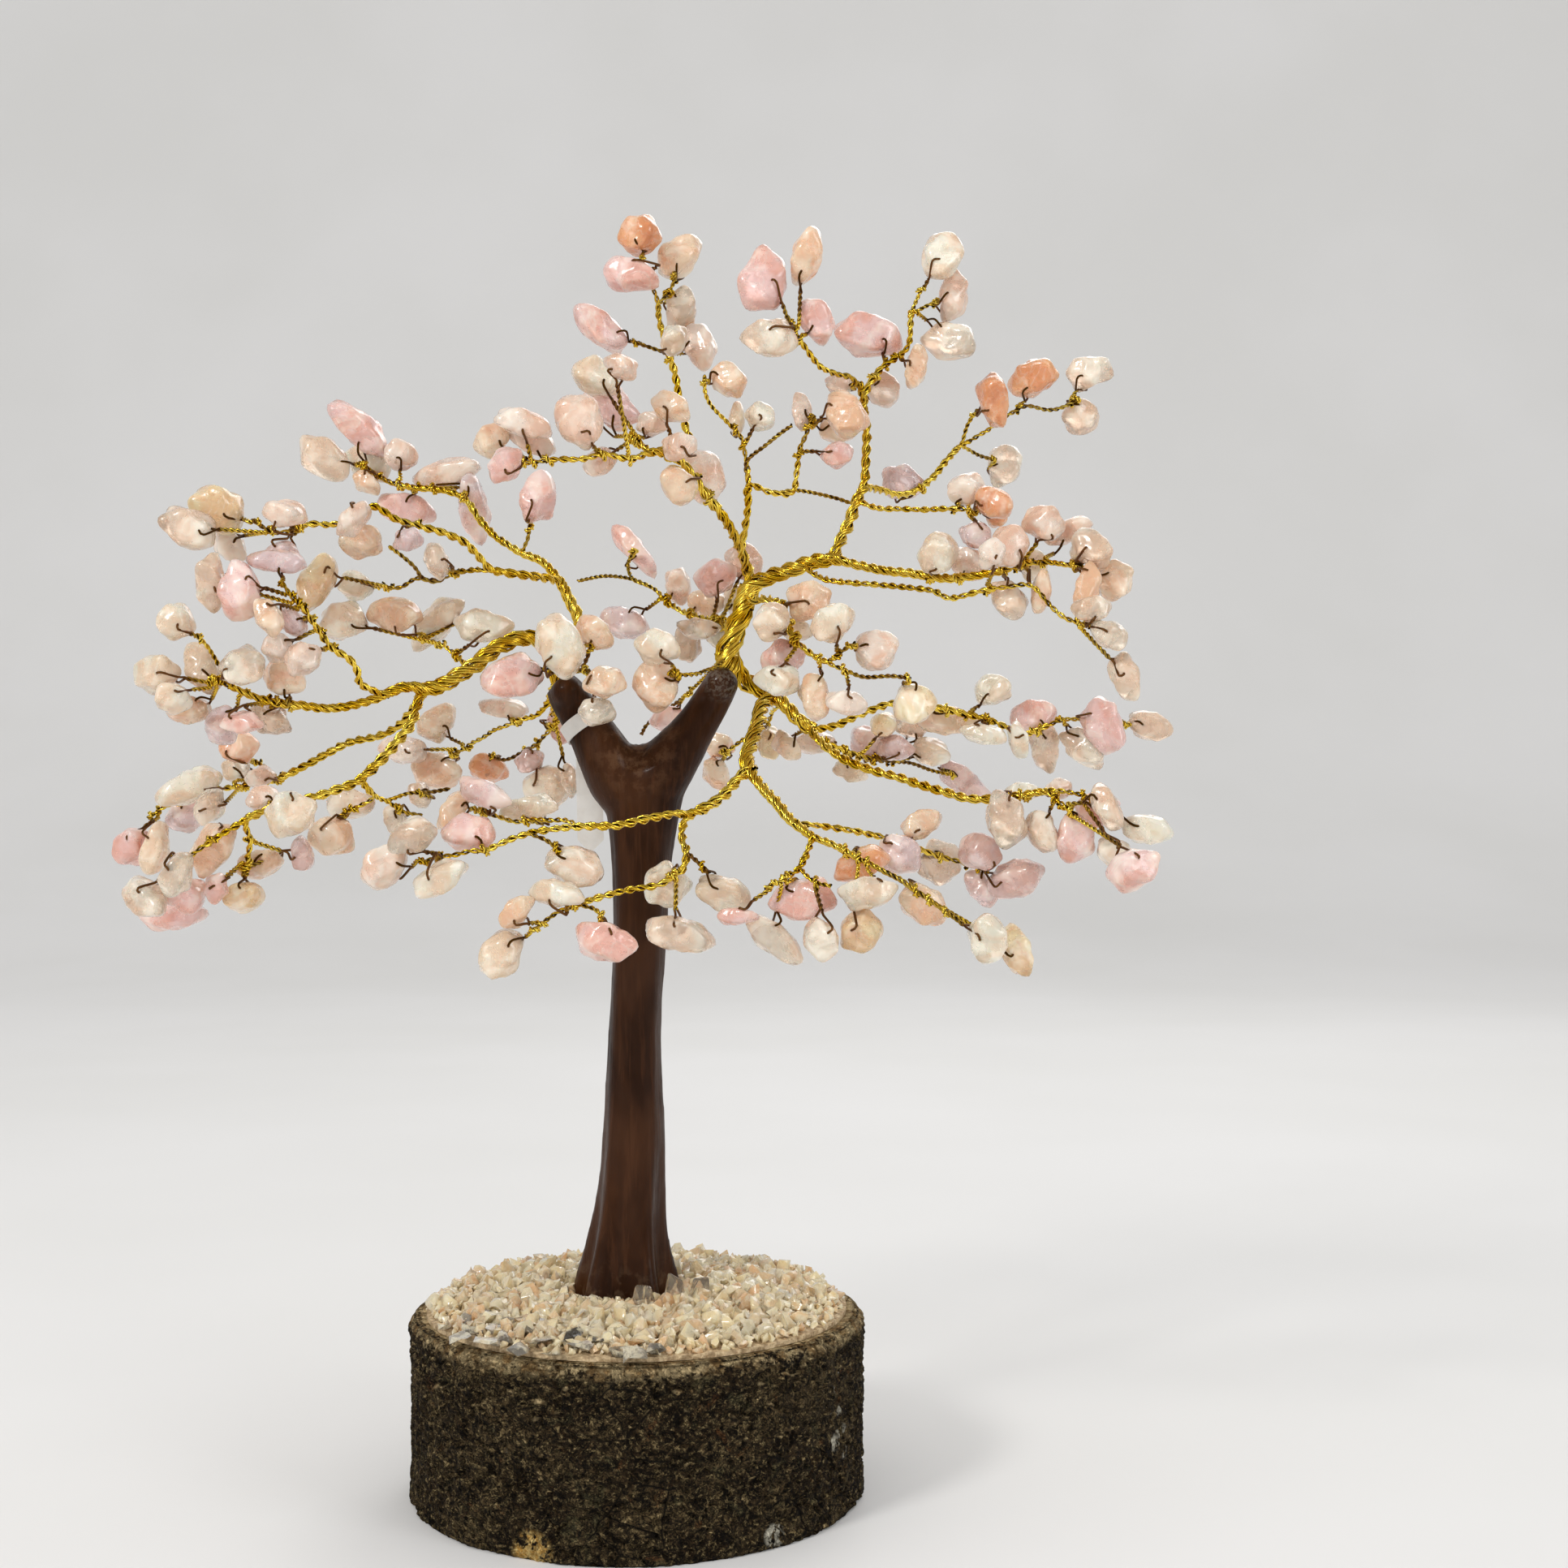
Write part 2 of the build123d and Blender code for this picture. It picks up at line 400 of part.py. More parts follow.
# The trunk's stem, from the log up: share of its height, and in shares of its width the place of
# its middle, its width and its depth. The last share is how deep the flutes between the roots are.
STEM_SHARES = [
    (0.0, -0.22, 1.94, 1.86, 0.2),
    (0.05, -0.22, 1.8, 1.72, 0.19),
    (0.13, -0.19, 1.42, 1.36, 0.15),
    (0.23, -0.11, 1.22, 1.16, 0.1),
    (0.38, -0.07, 1.08, 1.05, 0.07),
    (0.6, 0.0, 0.97, 0.98, 0.06),
    (0.78, 0.06, 1.08, 1.0, 0.05),
    (0.9, 0.1, 1.4, 1.06, 0.04),
    (0.96, 0.06, 1.5, 1.0, 0.03),
]
ROOT_COUNT = 5

# The log's outline, as shares of its radius at even steps round it
LOG_SHARES = (1.0, 0.985, 0.99, 1.0, 0.985, 0.975, 1.0, 0.99, 0.98, 0.995, 0.985, 0.99)

# Clear crystals at the foot: place in shares of the foot's radius, and share of their height
CRYSTAL_SHARES = [(0.2, -1.42, 0.8), (0.74, -1.16, 1.0), (1.12, -0.62, 0.7)]

# Crushed stones: how broad on top, how high, and how much smaller the smaller ones are
GRAVEL_TOP_SHARE = 0.72
GRAVEL_RISE_SHARE = 0.36
GRAVEL_SPREAD = 0.14

# Turn between one stone of the bed and the next, the label's stretch of its fork, its tail's lean
GOLDEN_SHARE = (sqrt(5) - 1) / 2
LABEL_STRETCH = 2
LABEL_LEAN = radians(12)

# A direction that no wire runs in, and how far it sways the plane in which a wire bends
ASKEW = (0.31, 0.87, 0.39)
ASKEW_SHARE = 0.001

# Bundles thicker than so many pairs of wire get one side more each
BUNDLE_SHARES = (1.6, 3.2, 4.2)

# How finely a chip's layer is searched, and how far out its hole lies between middle and rim
LAYERS_PER_CHIP = 3
LAYER_COUNT = 16
HOLE_SHARE = 0.46

# Tumbled chips: flat faces in front and behind, turned against each other, with four uneven corners
# each. The shares are the corners' distances from the middle, and the tilt is how wedged they are.
STONE_SHARES = [
    dict(near=(0.86, 0.8, 0.9, 0.82), far=(0.94, 1.0, 0.96, 0.98), tilt=0.1),
    dict(near=(0.98, 0.74, 0.66, 0.8), far=(1.0, 0.86, 0.82, 0.96), tilt=0.28),
    dict(near=(0.72, 0.88, 0.92, 0.74), far=(0.9, 0.88, 1.0, 0.98), tilt=-0.18),
    dict(near=(0.66, 0.84, 0.96, 0.86), far=(0.84, 0.98, 1.0, 0.88), tilt=-0.3),
    dict(near=(0.9, 0.94, 0.7, 0.76), far=(0.96, 0.84, 0.94, 1.0), tilt=0.2),
]


foot_centre = STEM_SHARES[0][1] * trunk_width
foot_radius = STEM_SHARES[0][2] * trunk_width / 2 + foot_gap
core_top = seen(*FORKS["left"]["route"][0])[2]


class Run:
    """A run of twisted wire: its points, its radius at each, and the chips that hang beyond."""

    def __init__(self, limb, points):
        self.limb = limb
        self.points = points
        self.load = np.zeros(len(points))
        self.parent = None
        self.radii = None
        self.sides = None
        self.facets = None

    def nearest(self, place):
        """The closest point of the run's centre line, the number of its stretch, and the distance."""
        starts = self.points[:-1]
        steps = self.points[1:] - starts
        along = np.einsum("ij,ij->i", place - starts, steps) / np.einsum("ij,ij->i", steps, steps)
        feet = starts + np.clip(along, 0, 1)[:, None] * steps
        gaps = np.linalg.norm(feet - place, axis=1)
        number = int(np.argmin(gaps))
        return feet[number], number, gaps[number]

    def direction(self, number):
        return unit(self.points[number + 1] - self.points[number])


class Form:
    """A convex form kept clear of the others: its corners, its face normals and a round margin."""

    def __init__(self, corners, normals, margin=0.0):
        self.corners = corners
        self.normals = normals
        self.margin = margin
        self.centre = corners.mean(axis=0)
        self.reach = np.linalg.norm(corners - self.centre, axis=1).max() + margin

    def gap(self, other):
        """The widest gap that a face of either form, or the line of centres, shows between them."""
        between = other.centre - self.centre
        distance = np.linalg.norm(between)
        if distance > self.reach + other.reach + chip_length:
            return distance
        sides = np.vstack([self.normals, -other.normals, between / max(distance, seat)])
        own = (self.corners @ sides.T).max(axis=0)
        others = (other.corners @ sides.T).min(axis=0)
        return (others - own).max() - self.margin - other.margin


def round_form(corners, along, radius=0.0):
    """A stretch of wire as a form with sides all round it, thickened by the radius."""
    across = unit(np.cross(along, ASKEW))
    other = np.cross(along, across)
    angles = np.arange(12) * pi / 6
    sides = np.outer(np.cos(angles), across) + np.outer(np.sin(angles), other)
    return Form(corners, np.vstack([sides, along, -along]), radius)


def stretch_form(start, end, radius):
    return round_form(np.array([start, end]), unit(end - start), radius)


def section_frames(points):
    """Axes square to a route at each of its points, carried along it without twist."""
    frames = []
    steps = [unit(after - point) for point, after in zip(points[:-1], points[1:])]
    turned = np.cross(steps[0], steps[-1] + ASKEW_SHARE * np.array(ASKEW))
    for number in range(len(points)):
        along = unit(steps[max(number - 1, 0)] + steps[min(number, len(steps) - 1)])
        turned = unit(turned - (turned @ along) * along)
        frames.append((turned, np.cross(along, turned), along))
    return frames


def section_rings(points, radii, sides):
    """Corners of the polygon at each point of a route."""
    turns = 2 * pi * np.arange(sides) / sides
    return [point + radius * (np.outer(np.cos(turns), across) + np.outer(np.sin(turns), other))
            for point, radius, (across, other, _) in zip(points, radii, section_frames(points))]


def facet_forms(points, radii, sides):
    """The stretches of a route as they are built, flat sides and all."""
    rings = section_rings(points, radii, sides)
    return [round_form(np.vstack([lower, upper]), unit(after - point))
            for lower, upper, point, after in zip(rings[:-1], rings[1:], points[:-1], points[1:])]


def run_forms(run):
    """All stretches of a run as forms, each as thick as its thicker end."""
    ends = zip(run.points[:-1], run.points[1:], run.radii[:-1])
    return [stretch_form(start, end, radius) for start, end, radius in ends]


def bundle_radius(load):
    """Radius of the twisted pairs of so many chips: their sections add up, loosely packed."""
    return pair_radius * (1 + 0.5 * (sqrt(max(load, 1)) - 1))


def leave(points, radii, parent):
    """Cut a route back so that its square end stands just clear of the run that it leaves."""
    step = wire_diameter / 2
    number = 0
    place = points[0]
    while number < len(points) - 1:
        along = unit(points[number + 1] - points[number])
        foot, stretch, distance = parent.nearest(place)
        lean = abs(along @ parent.direction(stretch))
        if distance >= parent.radii[stretch] + seat + radii[number] * lean:
            break
        place = place + along * step
        if np.linalg.norm(points[number + 1] - place) < 2 * step:
            number += 1
            place = points[number]
    kept = np.vstack([place, points[number + 1:]])
    return kept, radii[number:]


def seated(points, radii, sides, others):
    """Cut a route back until its end, as it is built, just clears the facets of the other runs."""
    walls = [form for other in others for form in other.facets]
    number = 0
    place = points[0]
    while number < len(points) - 2:
        kept = np.vstack([place, points[number + 1:]])
        end = facet_forms(kept, radii[number:], sides)[0]
        if min(form.gap(end) for form in walls) >= seat:
            break
        place = place + seat * unit(points[number + 1] - place)
        if np.linalg.norm(points[number + 1] - place) < 2 * seat:
            number += 1
            place = points[number]
    return np.vstack([place, points[number + 1:]]), radii[number:]


def stone_form(number, centre, length, width, turn):
    """One tumbled chip round its centre, with its long axis turned so in the picture's plane."""
    shares = STONE_SHARES[number % len(STONE_SHARES)]
    lean = radians(-24 + 12 * (number % 5))
    nod = radians(-16 + 8 * ((number // 2) % 5))
    long_axis = np.array([cos(turn) * cos(lean), sin(lean), sin(turn) * cos(lean)])
    near_axis = np.array([0.0, -1.0, 0.0]) + up * sin(nod)
    near_axis = unit(near_axis - (near_axis @ long_axis) * long_axis)
    wide_axis = np.cross(near_axis, long_axis)
    thick = min(chip_thickness, 0.8 * width)
    corners = []
    for side, ring in ((1, shares["near"]), (-1, shares["far"])):
        for corner, share in enumerate(ring):
            angle = 2 * pi * (corner + side / 4) / len(ring)
            along = share * cos(angle) * length / 2
            across = share * sin(angle) * width / 2
            height = side * (thick / 2 + side * shares["tilt"] * thick * along / length)
            corners.append(centre + along * long_axis + across * wide_axis + height * near_axis)
    corners = np.array(corners)
    return corners, near_axis, thick


def hull_normals(corners):
    """Outward normals of the hull of a few corners."""
    middle = corners.mean(axis=0)
    normals = []
    count = len(corners)
    for first in range(count):
        for second in range(first + 1, count):
            for third in range(second + 1, count):
                normal = np.cross(corners[second] - corners[first], corners[third] - corners[first])
                size = np.linalg.norm(normal)
                if size == 0:
                    continue
                normal = normal / size
                if normal @ (corners[first] - middle) < 0:
                    normal = -normal
                if ((corners - corners[first]) @ normal).max() < seat / 10:
                    normals.append(normal)
    return np.array(normals)


def grown_runs():
    """All runs, each cut back to stand on the wire that it leaves, with the chips of its limb."""
    runs = [Run("core", np.array([seen(*place) for place in fork["route"]])) for fork in FORKS.values()]
    core_count = len(runs)
    joins = [None] * core_count
    chips = []
    for name, limb in LIMBS.items():
        own = []
        for route in limb["branches"]:
            run = Run(name, needed([seen(*place) for place in route]))
            parent = min(runs, key=lambda other: other.nearest(run.points[0])[2])
            foot, stretch, _ = parent.nearest(run.points[0])
            run.points[0] = foot
            run.parent = parent
            joins.append(stretch)
            runs.append(run)
            own.append(run)
        for chip in limb["chips"]:
            spots = [nearest_seen(run, chip) for run in own]
            _, share, run, stretch = min(spots, key=lambda spot: spot[0])
            run.load[:stretch + 1] += 1
            chips.append((name, chip, share, own))
    for run, join in reversed(list(zip(runs, joins))):
        if run.parent:
            run.parent.load[:join + 1] += run.load[0]
    for run in runs:
        run.radii = np.array([bundle_radius(load) for load in run.load])
    for run, fork in zip(runs, FORKS.values()):
        run.radii[:len(fork["width_shares"])] = fork_core_diameter / 2
    for number, run in enumerate(runs):
        run.sides = 3 + sum(run.radii[0] > share * pair_radius for share in BUNDLE_SHARES)
        if run.parent:
            run.points, run.radii = seated(run.points, run.radii, run.sides, runs[:number])
        run.facets = facet_forms(run.points, run.radii, run.sides)
    return runs, chips


def needed(points):
    """A route without the points where it hardly bends."""
    kept = [points[0]]
    for point, after in zip(points[1:-1], points[2:]):
        along = unit(after - kept[-1])
        offset = point - kept[-1]
        if np.linalg.norm(offset - (offset @ along) * along) > route_slack:
            kept.append(point)
    return np.array(kept + [points[-1]])


def nearest_seen(run, chip):
    """How close a run passes to a chip in the picture, and how far back it lies there."""
    across, down = chip[:2]
    flat = [np.linalg.norm(seen_flat(point) - (across, down)) for point in run.points]
    number = int(np.argmin(flat))
    stretch = min(number, len(run.points) - 2)
    return flat[number], run.points[number][1] / crown_reach, run, stretch


def seen_flat(point):
    """The pixel at which a point of the crown shows."""
    across, behind, rise = point
    scale = mm_per_px + behind / focal_px
    side_px = (across + axis_px * mm_per_px + behind * lens_px / focal_px) / scale
    rise_px = (crotch_px * mm_per_px + behind * lens_px / focal_px - rise + crotch_height) / scale
    return np.array([side_px, rise_px])


class Crowd:
    """The forms placed so far, asked for those close enough to matter."""

    def __init__(self):
        self.forms = []
        self.owners = []

    def add(self, form, owner=None):
        self.forms.append(form)
        self.owners.append(owner)

    def freeze(self):
        self.centres = np.array([form.centre for form in self.forms])
        self.reaches = np.array([form.reach for form in self.forms])

    def room(self, form, but=()):
        """The least gap to the forms already placed, as far as the stone clearance matters."""
        far = np.linalg.norm(self.centres - form.centre, axis=1) - self.reaches - form.reach
        least = stone_clearance * 4
        for number in np.nonzero(far < stone_clearance)[0]:
            if self.owners[number] not in but:
                least = min(least, self.forms[number].gap(form))
        return least


def twig_route(hole, near_axis, thick, side, runs):
    """From the wire nearest to the chip, over its face to the drilled hole, and through it."""
    stand = thick / 2 + 2.2 * pair_radius
    bend = hole + side * stand * near_axis
    end = hole - side * (thick / 2 + wire_end) * near_axis
    parent = min(runs, key=lambda run: run.nearest(bend)[2])
    root, stretch, distance = parent.nearest(bend)
    back = parent.points[stretch] - root
    reach = np.linalg.norm(back)
    if reach > 0:
        root = root + back * min(1, 0.5 * distance / reach)
    radii = np.array([pair_radius, pair_radius, wire_diameter * 0.6])
    route = np.array([root, bend, end])
    points, radii = leave(route, radii, parent)
    return Twig(points, radii, parent, route)


class Twig:
    """The pair of wires of one chip."""

    def __init__(self, points, radii, parent, route):
        self.points = points
        self.radii = radii
        self.parent = parent
        self.route = route


class Chip:
    """One chip where it hangs, with its hole and its twig."""

    def __init__(self, limb, form, hole, near_axis, thick, twig):
        self.limb = limb
        self.form = form
        self.hole = hole
        self.near_axis = near_axis
        self.thick = thick
        self.twig = twig


def hang(number, name, row, share, own, crowd):
    """Place one chip on its line of sight, in the first layer where it and its twig are clear."""
    across, down, length_px, width_px, degrees, side = row
    view_distance = mm_per_px * focal_px
    size = chip_length / chip_span_px * (1 + share * crown_reach / view_distance)
    middle = seen(across, down, share)
    corners, near_axis, thick = stone_form(number, middle, length_px * size, width_px * size,
                                           radians(degrees))
    normals = hull_normals(corners)
    layer = thick / LAYERS_PER_CHIP / crown_reach
    best = None
    for count in range(2 * LAYER_COUNT + 1):
        steps = (count + 1) // 2 * (1 if count % 2 else -1)
        step = seen(across, down, share + steps * layer) - middle
        form = Form(corners + step, normals)
        room = crowd.room(form) - stone_clearance
        if best and room < min(best[0], 0):
            continue
        for face in (side, -side):
            found = try_twig(form, middle + step, near_axis, thick, face, own, crowd)
            room_here = min(room, found[0])
            chip = Chip(name, form, found[1], near_axis, thick, found[2])
            if best is None or room_here > best[0]:
                best = (room_here, chip)
            if room_here >= 0:
                return best
    return best


def try_twig(form, middle, near_axis, thick, side, own, crowd):
    """The twig of a chip on one of its faces, with the room that it leaves."""
    root = min((run.nearest(middle) for run in own), key=lambda spot: spot[2])[0]
    toward = root - middle
    toward = unit(toward - (toward @ near_axis) * near_axis)
    rim = ((form.corners - middle) @ toward).max()
    hole = middle + HOLE_SHARE * rim * toward
    twig = twig_route(hole, near_axis, thick, side, own)
    if len(twig.points) < 3:
        return -chip_length, hole, twig
    lead = stretch_form(twig.points[0], twig.points[1], twig.radii[0])
    through = stretch_form(twig.points[1], twig.points[2], twig.radii[1])
    but = (twig.parent,)
    room = min(crowd.room(lead, but), crowd.room(through, but)) - seat
    return min(room, lead.gap(form) - seat), hole, twig


def fork_shape(fork):
    """Centre line and radii of a fork's moulded skin."""
    radii = [share * fork_width / 2 for share in fork["width_shares"]]
    return [seen(*place) for place in fork["route"][:len(radii)]], radii


def trunk_forms():
    """The trunk as round stretches, so that wires and chips stay clear of it."""
    forms = []
    for fork in FORKS.values():
        points, radii = fork_shape(fork)
        for start, end, radius in zip(points[:-1], points[1:], radii[:-1]):
            forms.append(stretch_form(start, end, radius))
    low = np.array([0.0, 0.0, log_height])
    high = np.array([0.0, 0.0, crotch_height])
    forms.append(stretch_form(low, high, trunk_width * 0.7))
    return forms


def crown():
    """All runs, and all chips where they hang."""
    runs, rows = grown_runs()
    crowd = Crowd()
    for form in trunk_forms():
        crowd.add(form)
    for run in runs:
        for form in run_forms(run):
            crowd.add(form, run)
    crowd.freeze()
    chips = []
    for number, (name, row, share, own) in enumerate(rows):
        room, chip = hang(number, name, row, share, own, crowd)
        chip.room = room
        crowd.add(chip.form)
        twig = chip.twig
        twig.points, _ = seated(twig.route, twig.radii, 3, [twig.parent])
        for start, end, radius in zip(twig.points[:-1], twig.points[1:], twig.radii[:-1]):
            crowd.add(stretch_form(start, end, radius))
        crowd.freeze()
        chips.append(chip)
    return runs, chips



def ring_points(centre, width, depth, flute):
    """Points round a section of the stem, out at each root and in at each flute."""
    points = []
    for number in range(2 * ROOT_COUNT):
        share = 1 - flute * (number % 2)
        angle = pi * (number + 0.5) / ROOT_COUNT
        points.append((centre + share * cos(angle) * width / 2, share * sin(angle) * depth / 2))
    return points


def section_planes(points):
    """The planes of a route's sections."""
    return [Plane(tuple(point), x_dir=tuple(across), z_dir=tuple(along))
            for point, (across, _, along) in zip(points, section_frames(points))]


def wire_skin(points, radii, sides):
    """A run of wire as one closed solid: flat facets from section to section, flat at both ends."""
    rings = [[tuple(corner) for corner in ring] for ring in section_rings(points, radii, sides)]
    facets = [rings[0], rings[-1]]
    for lower, upper in zip(rings[:-1], rings[1:]):
        for number in range(sides):
            after = (number + 1) % sides
            facets.append([lower[number], lower[after], upper[after]])
            facets.append([lower[number], upper[after], upper[number]])
    return Solid(Shell([Face(Wire.make_polygon(facet)) for facet in facets]))


def drilled_stone(chip):
    """One chip, drilled right through where its twig passes."""
    place = section_planes(chip.twig.points)[-1]
    with BuildPart() as stone:
        ConvexPolyhedron([tuple(corner) for corner in chip.form.corners])
        with BuildSketch(Plane(tuple(chip.hole), x_dir=place.x_dir, z_dir=place.z_dir)):
            RegularPolygon(pair_radius + 2 * hole_clearance, 3)
        extrude(amount=chip.thick, both=True, mode=Mode.SUBTRACT)
    return stone.part


def bed_rise(distance):
    """Height of the domed bed over the log at this distance from its middle."""
    dome = 1 - (distance / bed_radius) ** 2
    return bed_edge_thickness + (bed_thickness - bed_edge_thickness) * dome


def bed_stone(number, across, behind, size, height):
    """Corners of a crushed stone, its flat underside on the bed at this place."""
    distance = sqrt(across ** 2 + behind ** 2)
    slope = 2 * (bed_thickness - bed_edge_thickness) * distance / bed_radius ** 2
    outward = np.array([across, behind, 0.0]) / distance
    rise_axis = unit(outward * slope + up)
    side_axis = np.cross(up, outward)
    level_axis = np.cross(side_axis, rise_axis)
    foot = np.array([across, behind, log_height + bed_rise(distance)]) + seat / 3 * rise_axis
    shares = STONE_SHARES[number % len(STONE_SHARES)]
    corners = []
    for turn, share in enumerate(shares["far"]):
        angle = 2 * pi * (turn / 4 + number * GOLDEN_SHARE)
        spread = share * size / 2
        corners.append(foot + spread * (cos(angle) * level_axis + sin(angle) * side_axis))
    for turn, share in enumerate(shares["near"][:3]):
        angle = 2 * pi * ((turn + 0.4) / 3 + number * GOLDEN_SHARE)
        spread = share * size * GRAVEL_TOP_SHARE / 2
        corners.append(foot + spread * (cos(angle) * level_axis + sin(angle) * side_axis)
                       + share * height * rise_axis)
    return [tuple(corner) for corner in corners]


def gravel_places():
    """Places of the larger stones, on a spiral that leaves out the foot and its crystals."""
    places = []
    count = int((bed_radius / gravel_spacing) ** 2 * pi)
    for number in range(count):
        distance = (bed_radius - gravel_size / 2) * sqrt((number + 0.5) / count)
        angle = 2 * pi * number * GOLDEN_SHARE
        across = distance * cos(angle)
        behind = distance * sin(angle)
        if sqrt((across - foot_centre) ** 2 + behind ** 2) < foot_radius + gravel_size / 2:
            continue
        if min(sqrt((across - x_share * foot_radius) ** 2 + (behind - y_share * foot_radius) ** 2)
               for x_share, y_share, _ in CRYSTAL_SHARES) < gravel_size:
            continue
        places.append((number, across, behind))
    return places


runs, chips = crown()
pieces = {}

# Log slice, its rim worn, with the socket drilled for the wire core
with BuildPart() as log_base:
    with BuildSketch():
        with BuildLine():
            steps = len(LOG_SHARES)
            Spline([(share * log_diameter / 2 * cos(2 * pi * number / steps),
                     share * log_diameter / 2 * sin(2 * pi * number / steps))
                    for number, share in enumerate(LOG_SHARES)], periodic=True)
        make_face()
    extrude(amount=log_height)
    chamfer(log_base.faces().sort_by(Axis.Z)[-1].edges(), rim_wear)
    with BuildSketch(Plane.XY.offset(log_height)):
        Circle(socket_diameter / 2)
    extrude(amount=-socket_depth, mode=Mode.SUBTRACT)
pieces["log_base"] = log_base

# Wire core: up from the socket through the trunk, then along both forks and out of their tips
with BuildPart() as armature:
    with BuildSketch(Plane.XY.offset(log_height - socket_depth)):
        RegularPolygon(core_diameter / 2, 8)
    extrude(amount=core_top - log_height + socket_depth)
    for run in runs:
        if run.limb == "core":
            add(wire_skin(run.points, run.radii, run.sides))
pieces["armature"] = armature

# Glue that fills the socket round the core
with BuildPart() as socket_glue:
    with BuildSketch(Plane.XY.offset(log_height)):
        Circle(socket_diameter / 2)
        RegularPolygon(core_diameter / 2, 8, mode=Mode.SUBTRACT)
    extrude(amount=-socket_depth)
pieces["socket_glue"] = socket_glue

# Trunk: a moulded skin over the core, fluted between its roots, with two forks
with BuildPart() as trunk:
    for height, middle, width, depth, flute in STEM_SHARES:
        with BuildSketch(Plane.XY.offset(log_height + height * trunk_height)):
            with BuildLine():
                Spline(ring_points(middle * trunk_width, width * trunk_width, depth * trunk_width,
                                   flute), periodic=True)
            make_face()
    loft()
    for fork in FORKS.values():
        points, radii = fork_shape(fork)
        for plane, radius in zip(section_planes(points), radii):
            with BuildSketch(plane):
                Circle(radius)
        loft()
    add(armature.part, mode=Mode.SUBTRACT)
pieces["trunk"] = trunk

# Gravel bed: a low dome of glued crushed stone, open round the trunk's foot
with BuildPart() as gravel_bed:
    with BuildSketch(Plane.XZ):
        with BuildLine():
            edge_height = log_height + bed_edge_thickness
            top_height = log_height + bed_thickness
            chord = bed_thickness - bed_edge_thickness
            ThreePointArc((0, top_height), (bed_radius / 2, top_height - chord / 4),
                          (bed_radius, edge_height))
            Line((bed_radius, edge_height), (bed_radius, log_height))
            Line((bed_radius, log_height), (0, log_height))
            Line((0, log_height), (0, top_height))
        make_face()
    revolve(axis=Axis.Z)
    with BuildSketch(Plane.XY.offset(log_height)):
        with Locations((foot_centre, 0)):
            Circle(foot_radius)
    extrude(amount=bed_thickness, mode=Mode.SUBTRACT)
pieces["gravel_bed"] = gravel_bed

# The bed's larger stones, each with its flat side down
with BuildPart() as gravel_stones:
    for number, across, behind in gravel_places():
        size = gravel_size * (1 - GRAVEL_SPREAD * (number % 3))
        ConvexPolyhedron(bed_stone(number, across, behind, size, GRAVEL_RISE_SHARE * size))
pieces["gravel_stones"] = gravel_stones

# Clear crystals that stand against the foot
with BuildPart() as foot_crystals:
    for number, (x_share, y_share, height_share) in enumerate(CRYSTAL_SHARES):
        ConvexPolyhedron(bed_stone(number, x_share * foot_radius, y_share * foot_radius,
                                   gravel_size, height_share * crystal_height))
pieces["foot_crystals"] = foot_crystals

# Paper label: a ring folded round the left fork, with its tail hanging behind the trunk
label_route, label_radii = fork_shape(FORKS["left"])
label_start, label_end = label_route[LABEL_STRETCH:LABEL_STRETCH + 2]
label_middle = label_start + 0.4 * (label_end - label_start)
label_along = unit(label_end - label_start)
label_inside = label_radii[LABEL_STRETCH]
tail_down = np.array([0.0, sin(LABEL_LEAN), -cos(LABEL_LEAN)])
tail_back = np.array([0.0, cos(LABEL_LEAN), sin(LABEL_LEAN)])
tail_top = label_middle + (label_inside + paper_thickness / 2) * np.array([0.0, 1.0, 0.0])
with BuildPart() as paper_label:
    with BuildSketch(Plane(tuple(label_middle), z_dir=tuple(label_along))):
        Circle(label_inside + paper_thickness)
        Circle(label_inside, mode=Mode.SUBTRACT)
    extrude(amount=label_width / 2, both=True)
    with BuildSketch(Plane(tuple(tail_top), x_dir=tuple(tail_down), z_dir=tuple(tail_back))):
        with BuildLine():
            half = label_tail_width / 2
            Polyline([(0, -half), (label_tail_length - half, -half), (label_tail_length, 0),
                      (label_tail_length - half, half), (0, half)], close=True)
        make_face()
    extrude(amount=paper_thickness)
pieces["paper_label"] = paper_label

# Crown: for each limb its wires, then its drilled chips, each chip on its own twig
for limb in LIMBS:
    limb_chips = [chip for chip in chips if chip.limb == limb]
    with BuildPart() as wire:
        add([wire_skin(run.points, run.radii, run.sides) for run in runs if run.limb == limb])
        add([wire_skin(chip.twig.points, chip.twig.radii, 3) for chip in limb_chips])
    pieces[limb + "_wire"] = wire
    if limb_chips:
        with BuildPart() as stones:
            add([drilled_stone(chip) for chip in limb_chips])
        pieces[limb + "_chips"] = stones

os.makedirs("parts", exist_ok=True)
for name, piece in pieces.items():
    piece.part.label = name
    export_step(piece.part, "parts/" + name + ".step")
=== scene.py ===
import json
import math

import bmesh
import bpy
from mathutils import Matrix, Vector, noise

